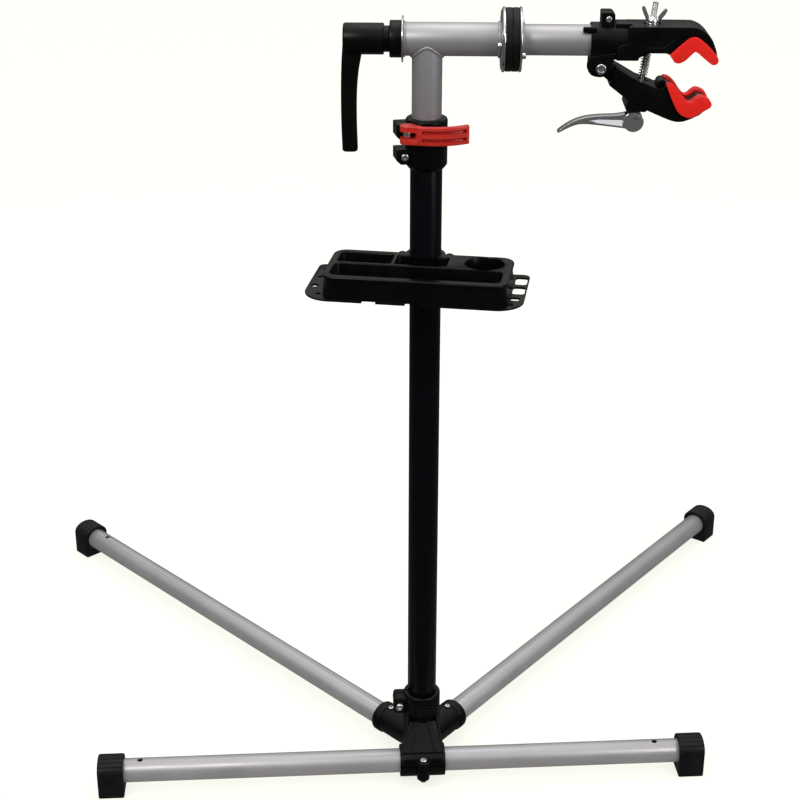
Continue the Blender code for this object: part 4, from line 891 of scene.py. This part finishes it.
# ---- arm and clamp head
PIVOT = in_frame(ARM, JAW.translation)
SEAT = in_frame(ARM, ROD.translation)
PIN = in_frame(ARM, CAM.translation)
JAW_HALF, PAD_HALF, LUG_INNER, LUG_OUTER = 22.5, 26, 16.8, 23.2
INSERT_HALF, PAD_WEB, INSERT_SINK = 12.5, 1.8, 2.5
BEAD_MIDDLE, BEAD_RADIUS = (267.2, -47.8), 5.6
PAD_TOP_OUTER = [
    (271.8, -11.5), (290.2, 5.8), (295.6, 8.5), (299, 9), (303.4, 8), (315.4, -1.2), (325.6, -13)]
PAD_TOP_INNER = [
    (327, -17.7), (325.2, -21.2), (321.1, -22.1), (319, -21.4), (309.1, -13.7), (300.8, -6.5),
    (297.9, -8.6), (290.7, -16.4), (285.8, -19.6), (281.2, -20.6), (277.5, -19.1)]
PAD_LOW_OUTER = [
    (270.5, -45.4), (273.6, -52.7), (279.7, -66.5), (285.7, -77.1), (294.4, -81.9), (300.7, -82.4),
    (308.8, -78), (321.8, -70.4)]
PAD_LOW_INNER = [
    (323, -66.2), (320, -60.9), (312.5, -57.7), (307.3, -57.8), (298, -66.8), (291.9, -61.1),
    (284.9, -50.5), (277.1, -44.3), (271.9, -43.8)]


def offset_line(points, distance):
    """Move an open line sideways, to its left for a positive distance."""
    result = []
    for i, point in enumerate(points):
        before, after = points[max(i - 1, 0)], points[min(i + 1, len(points) - 1)]
        along = Vector((after[0] - before[0], after[1] - before[1])).normalized()
        result.append((point[0] - along.y * distance, point[1] + along.x * distance))
    return result


def from_pivot(points):
    return [(x - PIVOT.x, z - PIVOT.z) for x, z in points]


def make_arm():
    add("arm_tube", "body", along_x(ring(ARM_RADIUS, ARM_BORE, ARM_END - ARM_START, 0.4, 96)),
        shifted(ARM, (ARM_START, 0, 0)))


def make_upper_jaw():
    socket = turned([(0, 184), (19.8, 184), (20.5, 184.8), (20.5, 235.2), (19.8, 236), (0, 236)], 96)
    nose = arc((292.5, -11), 31, 18, 88, 14)
    body = [(225, 18), (225, 1), (213, -3), (213, -18.5), (237, -18.5),
            (238.5, -15.2), (250, -10), (268, -10)] + offset_line(smooth_line(PAD_TOP_OUTER, 1), GAP)
    body += [(323.5, -5)] + [(x, z) for x, z in nose if x < 320.5 and z < 19.6]
    body += [(292, 19.5), (226, 19.5)]
    body = slab(body, JAW_HALF, 2.4, 4, 50)
    chin = softened(box((184.2, -19, -18.3), (235, 19, 0)), 1.2, 2)
    near = smooth_line([
        (184.2, -14), (180.5, -19), (179.7, -27), (184, -34.5), (190.5, -37), (199, -37.2),
        (205.5, -32.5), (208, -24), (212, -10)], 2)
    far = [(max(x, 184.2), z) for x, z in near]
    middle, half = (LUG_INNER + LUG_OUTER) / 2, (LUG_OUTER - LUG_INNER) / 2
    lugs = [moved(slab(lug, half, 0.7, 3, 60), Matrix.Translation((0, side * middle, 0)))
            for side, lug in ((-1, near), (1, far))]
    ear = [(195, 10), (210.3, 10), (210.3, 30.5), (207.5, 33.5), (195, 33.5)]
    ears = slab(ear, 12.5, 1.2, 3, 45)
    key = softened(box((174.5, -18.2, 11.7), (190, -12.6, 17.9)), 1.4)
    step = softened(box((211.5, -13, 15), (230, 13, 21.2)), 1, 2)
    shape = joined(along_x(socket), body, chin, *lugs, ears, key, step, solver="MANIFOLD")
    recess = softened(box((197.2, -14.5, 21.5), (208.5, -11.7, 31.5)), 0.5, 1)
    panel = [(242, 11), (242, -4), (265, -4), (280, 8.5), (280, 11)]
    panels = [moved(slab(panel, 0.7, 0.5, 1, 50), Matrix.Translation((0, side * (JAW_HALF + 0.1), 0)))
              for side in (-1, 1)]
    shape = cut(shape, lengthwise(170, ARM_END + GAP, ARM_RADIUS + GAP, 96),
                box((170, -1.2, 0), (212.5, 1.2, 50)), box((245.5, -4, -30), (258, 4, 30)),
                upright(SEAT.x, 0, 16, 30, 10), across(PIVOT.x, PIVOT.z, 30, 4, 40),
                across(203, 26, 20, 2.4, 28), recess, *panels, solver="MANIFOLD")
    add("upper_jaw", "casting", shape, ARM, bevel=0.3)
    pad, strip = pad_and_strip(PAD_TOP_OUTER, PAD_TOP_INNER, -1)
    add("upper_jaw_pad", "cheeks", pad, ARM, bevel=0.4)
    place("upper_jaw_strip", strip, "upper_jaw_insert", ARM)
    add_screw("head_clamp_screw", shifted(ARM, (203, -12.5 - GAP, 26), FRONT), 3.6, 3, 2.1, 27)
    add_nut("head_clamp_nut", shifted(ARM, (203, 12.5 + GAP, 26), BACK), 7, 3, 2.4)
    bolt = turned([(0, 1.6), (3, 1.6), (3.4, 2), (3.6, 3), (5, 3), (5.7, 2.6), (6, 1.8), (6, 0),
                   (3.6, 0), (3.6, -47.5), (4.8, -47.5), (5.2, -48.2), (4, -49.5), (0, -49.5)], 48)
    cross = [box((-2.2, -0.5, 0.6), (2.2, 0.5, 3)), box((-0.5, -2.2, 0.6), (0.5, 2.2, 3))]
    add("jaw_pivot_bolt", "head", cut(bolt, *cross),
        shifted(ARM, (PIVOT.x, -LUG_OUTER - GAP, PIVOT.z), FRONT))


def pad_and_strip(outer, inner, side):
    """A pad with two cheeks and a web under them, and the black strip between the cheeks."""
    outer, inner = smooth_line(outer, 1), smooth_line(inner, 2)
    floor = offset_line(outer, side * PAD_WEB)
    start, end = Vector(floor[0]), Vector(floor[-1])
    start += (start - Vector(floor[1])).normalized() * 6
    end += (end - Vector(floor[-2])).normalized() * 6
    mouth = [(point[0], point[1] + side * 40) for point in (end, start)]
    channel = [tuple(start)] + floor + [tuple(end)] + mouth
    pad = slab(outer + inner, PAD_HALF, 1.7, 4, 50)
    pad = cut(pad, profile_plate(channel, INSERT_HALF))
    seat = offset_line(outer, side * (PAD_WEB + GAP))
    crown = offset_line(inner, side * INSERT_SINK)
    strip = profile_plate(seat + crown, INSERT_HALF - GAP)
    return pad, strip


def bead_roll(radius, half):
    """The rolled end of the lower strip, across the jaw."""
    x, z = BEAD_MIDDLE
    return across(x, z, half, radius, 40)


def make_lower_jaw():
    interface = offset_line(smooth_line(list(reversed(PAD_LOW_OUTER)), 1), GAP)
    wide = [(213.5, -26.8), (239, -41.5), (248.6, -44.6), (260.4, -49.8), (267.2, -50)]
    wide += list(reversed(interface))[:-1]
    chin = smooth_line([
        (310, -80), (306, -81.8), (300.3, -85), (289, -88.6), (278.4, -87.1), (250.3, -75)], 2)
    wide += chin + [(249, -77), (227.2, -76.2), (225.9, -72), (228.6, -63.9), (206, -46.5)]
    body = slab(from_pivot(wide), JAW_HALF, 2.2, 4, 50)
    tongue = arc((0, 0), 6.3, 60, 240, 24) + from_pivot([(230, -60), (232, -43)])
    tongue = slab(tongue, LUG_INNER - GAP, 0.6, 2, 50)
    shape = joined(body, tongue)
    slot = []
    for height, left, right in ((-98, -4.6, 4), (-30, -4.6, 8.5)):
        middle = PIN.x + (height - PIN.z) * sin(ROD_TILT) / cos(ROD_TILT)
        slot += [(middle + side - PIVOT.x, y, height - PIVOT.z)
                 for side in (left, right) for y in (-4, 4)]
    to_pivot = Matrix.Translation((-PIVOT.x, 0, -PIVOT.z))
    shape = cut(shape, hull(slot), across(0, 0, 30, 3.6 + GAP, 40),
                moved(bead_roll(BEAD_RADIUS + GAP, INSERT_HALF + GAP), to_pivot))
    add("lower_jaw", "casting", shape, JAW, bevel=0.3)
    pad, strip = pad_and_strip(PAD_LOW_OUTER, PAD_LOW_INNER, 1)
    roll = softened(bead_roll(BEAD_RADIUS, INSERT_HALF - GAP), 0.6, 2, 60)
    add("lower_jaw_pad", "cheeks", moved(pad, to_pivot), JAW, bevel=0.4)
    strip = joined(strip, roll, solver="MANIFOLD")
    place("lower_jaw_strip", moved(strip, to_pivot), "lower_jaw_insert", JAW)


def make_draw_rod():
    length = hypot(SEAT.x - PIN.x, SEAT.z - PIN.z)
    thread = threaded(3.4, -28.5, 23.6, 1, 0.4)
    stem = turned([(0, -length + 3), (3.1, -length + 3), (3.1, -28), (0, -28)], 32)
    eye = softened(across(0, -length, 4, 5.2), 0.4, 2)
    shape = cut(joined(stem, eye), across(0, -length, 10, 2.4 + GAP, 28))
    add("draw_rod", "stem", shape, ROD)
    place("draw_rod_thread", thread, "draw_rod", ROD, sharp=60, replaced=False)
    add("draw_rod_washer", "ring", ring(7.5, 3.4 + GAP, 1.6, 0.3, 64), shifted(ROD, (0, 0, -1)))
    pin = softened(across(0, 0, 9.5, 2.4, 32), 0.3, 2)
    add("cam_pin", "rod", pin, CAM)
    hub = turned([(3.4 + GAP, 0), (6.2, 0), (6.6, 0.4), (6.6, 2.8),
                  (6, 4), (5.3, 6.1), (4.8, 6.6), (3.4 + GAP, 6.6)])
    wing = smooth_line([
        (4.6, 0.8), (6.6, 1), (10, 5.8), (12.6, 10), (14.8, 15), (13.2, 17.4), (10.6, 16.2), (6.2, 8.5),
        (4.4, 5.8)], 2)
    wings = [slab([(side * x, z) for x, z in wing], 1.4, 0.6, 3, 50) for side in (-1, 1)]
    add("wing_nut", "body", joined(hub, *wings), shifted(ROD, (0, 0, 0.6 + GAP)), bevel=0.2)


def make_spring():
    """The coil that pushes the jaws apart, built at one length; the real one shortens as the lower jaw closes."""
    top, bottom, turns, per_turn = -32.5, -59, 8, 40
    data = bpy.data.curves.new("jaw_spring_coil", "CURVE")
    data.dimensions = "3D"
    data.bevel_depth = 0.62
    data.bevel_resolution = 4
    data.use_fill_caps = True
    spline = data.splines.new("POLY")
    count = turns * per_turn + 1
    spline.points.add(count - 1)
    for i, point in enumerate(spline.points):
        angle = 2 * pi * i / per_turn
        share = i / (count - 1)
        eased = share + 0.04 * sin(2 * pi * share) / pi
        point.co = (4.7 * cos(angle), 4.7 * sin(angle), bottom + (top - bottom) * eased, 1)
    obj = link(bpy.data.objects.new("jaw_spring_coil", data))
    bpy.context.view_layer.update()
    mesh = bpy.data.meshes.new_from_object(obj.evaluated_get(bpy.context.evaluated_depsgraph_get()))
    bpy.data.objects.remove(obj, do_unlink=True)
    shape = bmesh.new()
    shape.from_mesh(mesh)
    piece = add("jaw_spring", "wire", shape, ROD, sharp=70)
    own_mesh(piece)


DISH_SLOPE = 0.45  # the lever's side dishes face upwards by this much


def make_cam_lever():
    centre, radius, cheek, fork = (-2.5, -5.2), 11.8, 8.8, 4.5
    hub = softened(across(centre[0], centre[1], cheek, radius, 80), 0.9)
    boss = softened(across(0, 0, cheek + 0.6, 4), 0.4, 2)
    upper = smooth_line([(-6.5, 5), (-21.5, 1.5), (-42.7, 1), (-60, -1.2), (-75, -7.2), (-87, -16)], 2)
    lower = smooth_line([
        (-89.3, -18.6), (-88, -19.2), (-75, -11.8), (-63.5, -8), (-45, -9.2), (-15.4, -12.6),
        (-8, -14)], 2)
    blade = slab(upper + lower, 6.5, 1.4, 4, 60)
    shape = joined(hub, blade, boss)
    fork_cut = box((-12.5, -fork, -20), (15, fork, 12))
    hollow = profile_plate([(-20, -2), (-43, -1.8), (-60, -4.2), (-61, -12), (-44, -13), (-20, -18)], 2)
    dishes = []
    for side in (-1, 1):
        rim = [(-15, -10.5), (-15, -2), (-42, -1.6), (-57, -4), (-43, -7)]
        floor = [(x, side * (6.3 - DISH_SLOPE * (z + 10.5)), z) for x, z in rim]
        dishes.append(hull(floor + [(x, side * 9, z) for x, z in rim]))
    pin_hole = across(0, 0, 20, 2.4 + GAP, 32)
    add("cam_lever", "blade", cut(shape, fork_cut, hollow, pin_hole, *dishes), CAM, bevel=0.25)


# ---- nodes kept from the frame
def dress_kept_nodes():
    """Inner pieces keep their frame shape and get a finish and smooth round faces."""
    for name in ("mast_glide_bush", "through_rod", "arm_anchor_plug"):
        obj = frame["nodes"][name]
        obj.data.materials.clear()
        obj.data.materials.append(FINISH[SLOT_OF[name]])
        obj.data.shade_smooth()
        obj.data.set_sharp_from_angle(angle=radians(35))


# ---- studio and camera
CAMERA_FROM_MAST = Vector((-0.15077, -1.88273, 1.38536))
CAMERA_YAW, CAMERA_PITCH, CAMERA_ROLL = 0.063951, 0.421668, 0.0020476
CAMERA_LENS = 74.853
WORLD_DARK, WORLD_BRIGHT = 0.12, 1.55  # strength below the low and above the high direction
WORLD_LOW, WORLD_HIGH = 0.15, 0.95  # upward part of a direction
FLOOR_SHADE, FLOOR_GLOW = 0.24, 0.8
BOUNCE, BOUNCE_REACH = 1.2, 0.6  # extra light just above the floor, and how high it goes
LAMP_TARGET = Vector((0, -0.1, 0.6))
SOFTBOXES = [("key", (-1.6, -2.2, 2.6), 0.8, 30), ("fill", (2, -1.9, 1.5), 1, 18),
             ("top", (0.2, 0.3, 3.2), 1.6, 14)]


def studio_world():
    """Light that falls from bright above to dark round the horizon; seen directly it is pale."""
    world = bpy.data.worlds.new("studio")
    world.use_nodes = True
    tree = world.node_tree
    split = add_node(tree, "SeparateXYZ", {"Vector": add_node(tree, "TexCoord").outputs["Generated"]})
    level = ranged(tree, split.outputs["Z"], WORLD_DARK, WORLD_BRIGHT, WORLD_LOW, WORLD_HIGH)
    seen = {0: level, 1: add_node(tree, "LightPath").outputs["Is Camera Ray"]}
    strength = add_node(tree, "Math", seen, operation="MAXIMUM").outputs["Value"]
    fill(tree.nodes["Background"], {"Color": (1, 1, 0.995, 1), "Strength": strength})
    bpy.context.scene.world = world


def studio_floor():
    shape = bmesh.new()
    bmesh.ops.create_grid(shape, x_segments=1, y_segments=1, size=30)
    floor = new_object(shape, "studio_floor")
    floor.location.z = -0.0002
    material, tree, shader = new_material("pale_floor")
    path = add_node(tree, "LightPath").outputs
    near = ranged(tree, path["Ray Length"], BOUNCE, 0, 0, BOUNCE_REACH)
    glow = {0: path["Is Camera Ray"], 1: FLOOR_GLOW, 2: near}
    strength = add_node(tree, "Math", glow, operation="MULTIPLY_ADD").outputs["Value"]
    fill(
        shader, {"Base Color": (FLOOR_SHADE, FLOOR_SHADE, 0.88 * FLOOR_SHADE, 1), "Roughness": 0.9,
        "Specular IOR Level": 0.05, "Emission Color": (1, 1, 0.92, 1), "Emission Strength": strength})
    floor.data.materials.append(material)
    floor.visible_glossy = False


def make_studio():
    studio_world()
    studio_floor()
    for name, spot, size, power in SOFTBOXES:
        light = bpy.data.lights.new(name, "AREA")
        light.size = size
        light.energy = power
        lamp = link(bpy.data.objects.new(name, light))
        lamp.location = spot
        lamp.rotation_euler = (LAMP_TARGET - Vector(spot)).to_track_quat("-Z", "Y").to_euler()


def make_camera():
    forward = Vector(
        (sin(CAMERA_YAW) * cos(CAMERA_PITCH), cos(CAMERA_YAW) * cos(CAMERA_PITCH), -sin(CAMERA_PITCH)))
    right = Vector((cos(CAMERA_YAW), -sin(CAMERA_YAW), 0))
    up = right.cross(forward)
    turned_right = right * cos(CAMERA_ROLL) + up * sin(CAMERA_ROLL)
    turned_up = up * cos(CAMERA_ROLL) - right * sin(CAMERA_ROLL)
    rotation = Matrix((turned_right, turned_up, -forward)).transposed().to_4x4()
    data = bpy.data.cameras.new("camera")
    data.sensor_width = 36
    data.lens = CAMERA_LENS
    camera = bpy.data.objects.new("camera", data)
    base = Vector((MAST.x, MAST.y, 0)) / 1000
    camera.matrix_world = Matrix.Translation(base + CAMERA_FROM_MAST) @ rotation
    link(camera)
    bpy.context.scene.camera = camera
    bpy.context.scene.view_settings.view_transform = "Standard"


make_studio()
make_camera()
make_legs()
make_hub()
make_post()
make_collar()
make_quick_release()
make_tray()
make_tray_clamp()
make_mast()
make_friction_joint()
make_handle()
make_arm()
make_upper_jaw()
make_lower_jaw()
make_draw_rod()
make_spring()
make_cam_lever()
dress_kept_nodes()
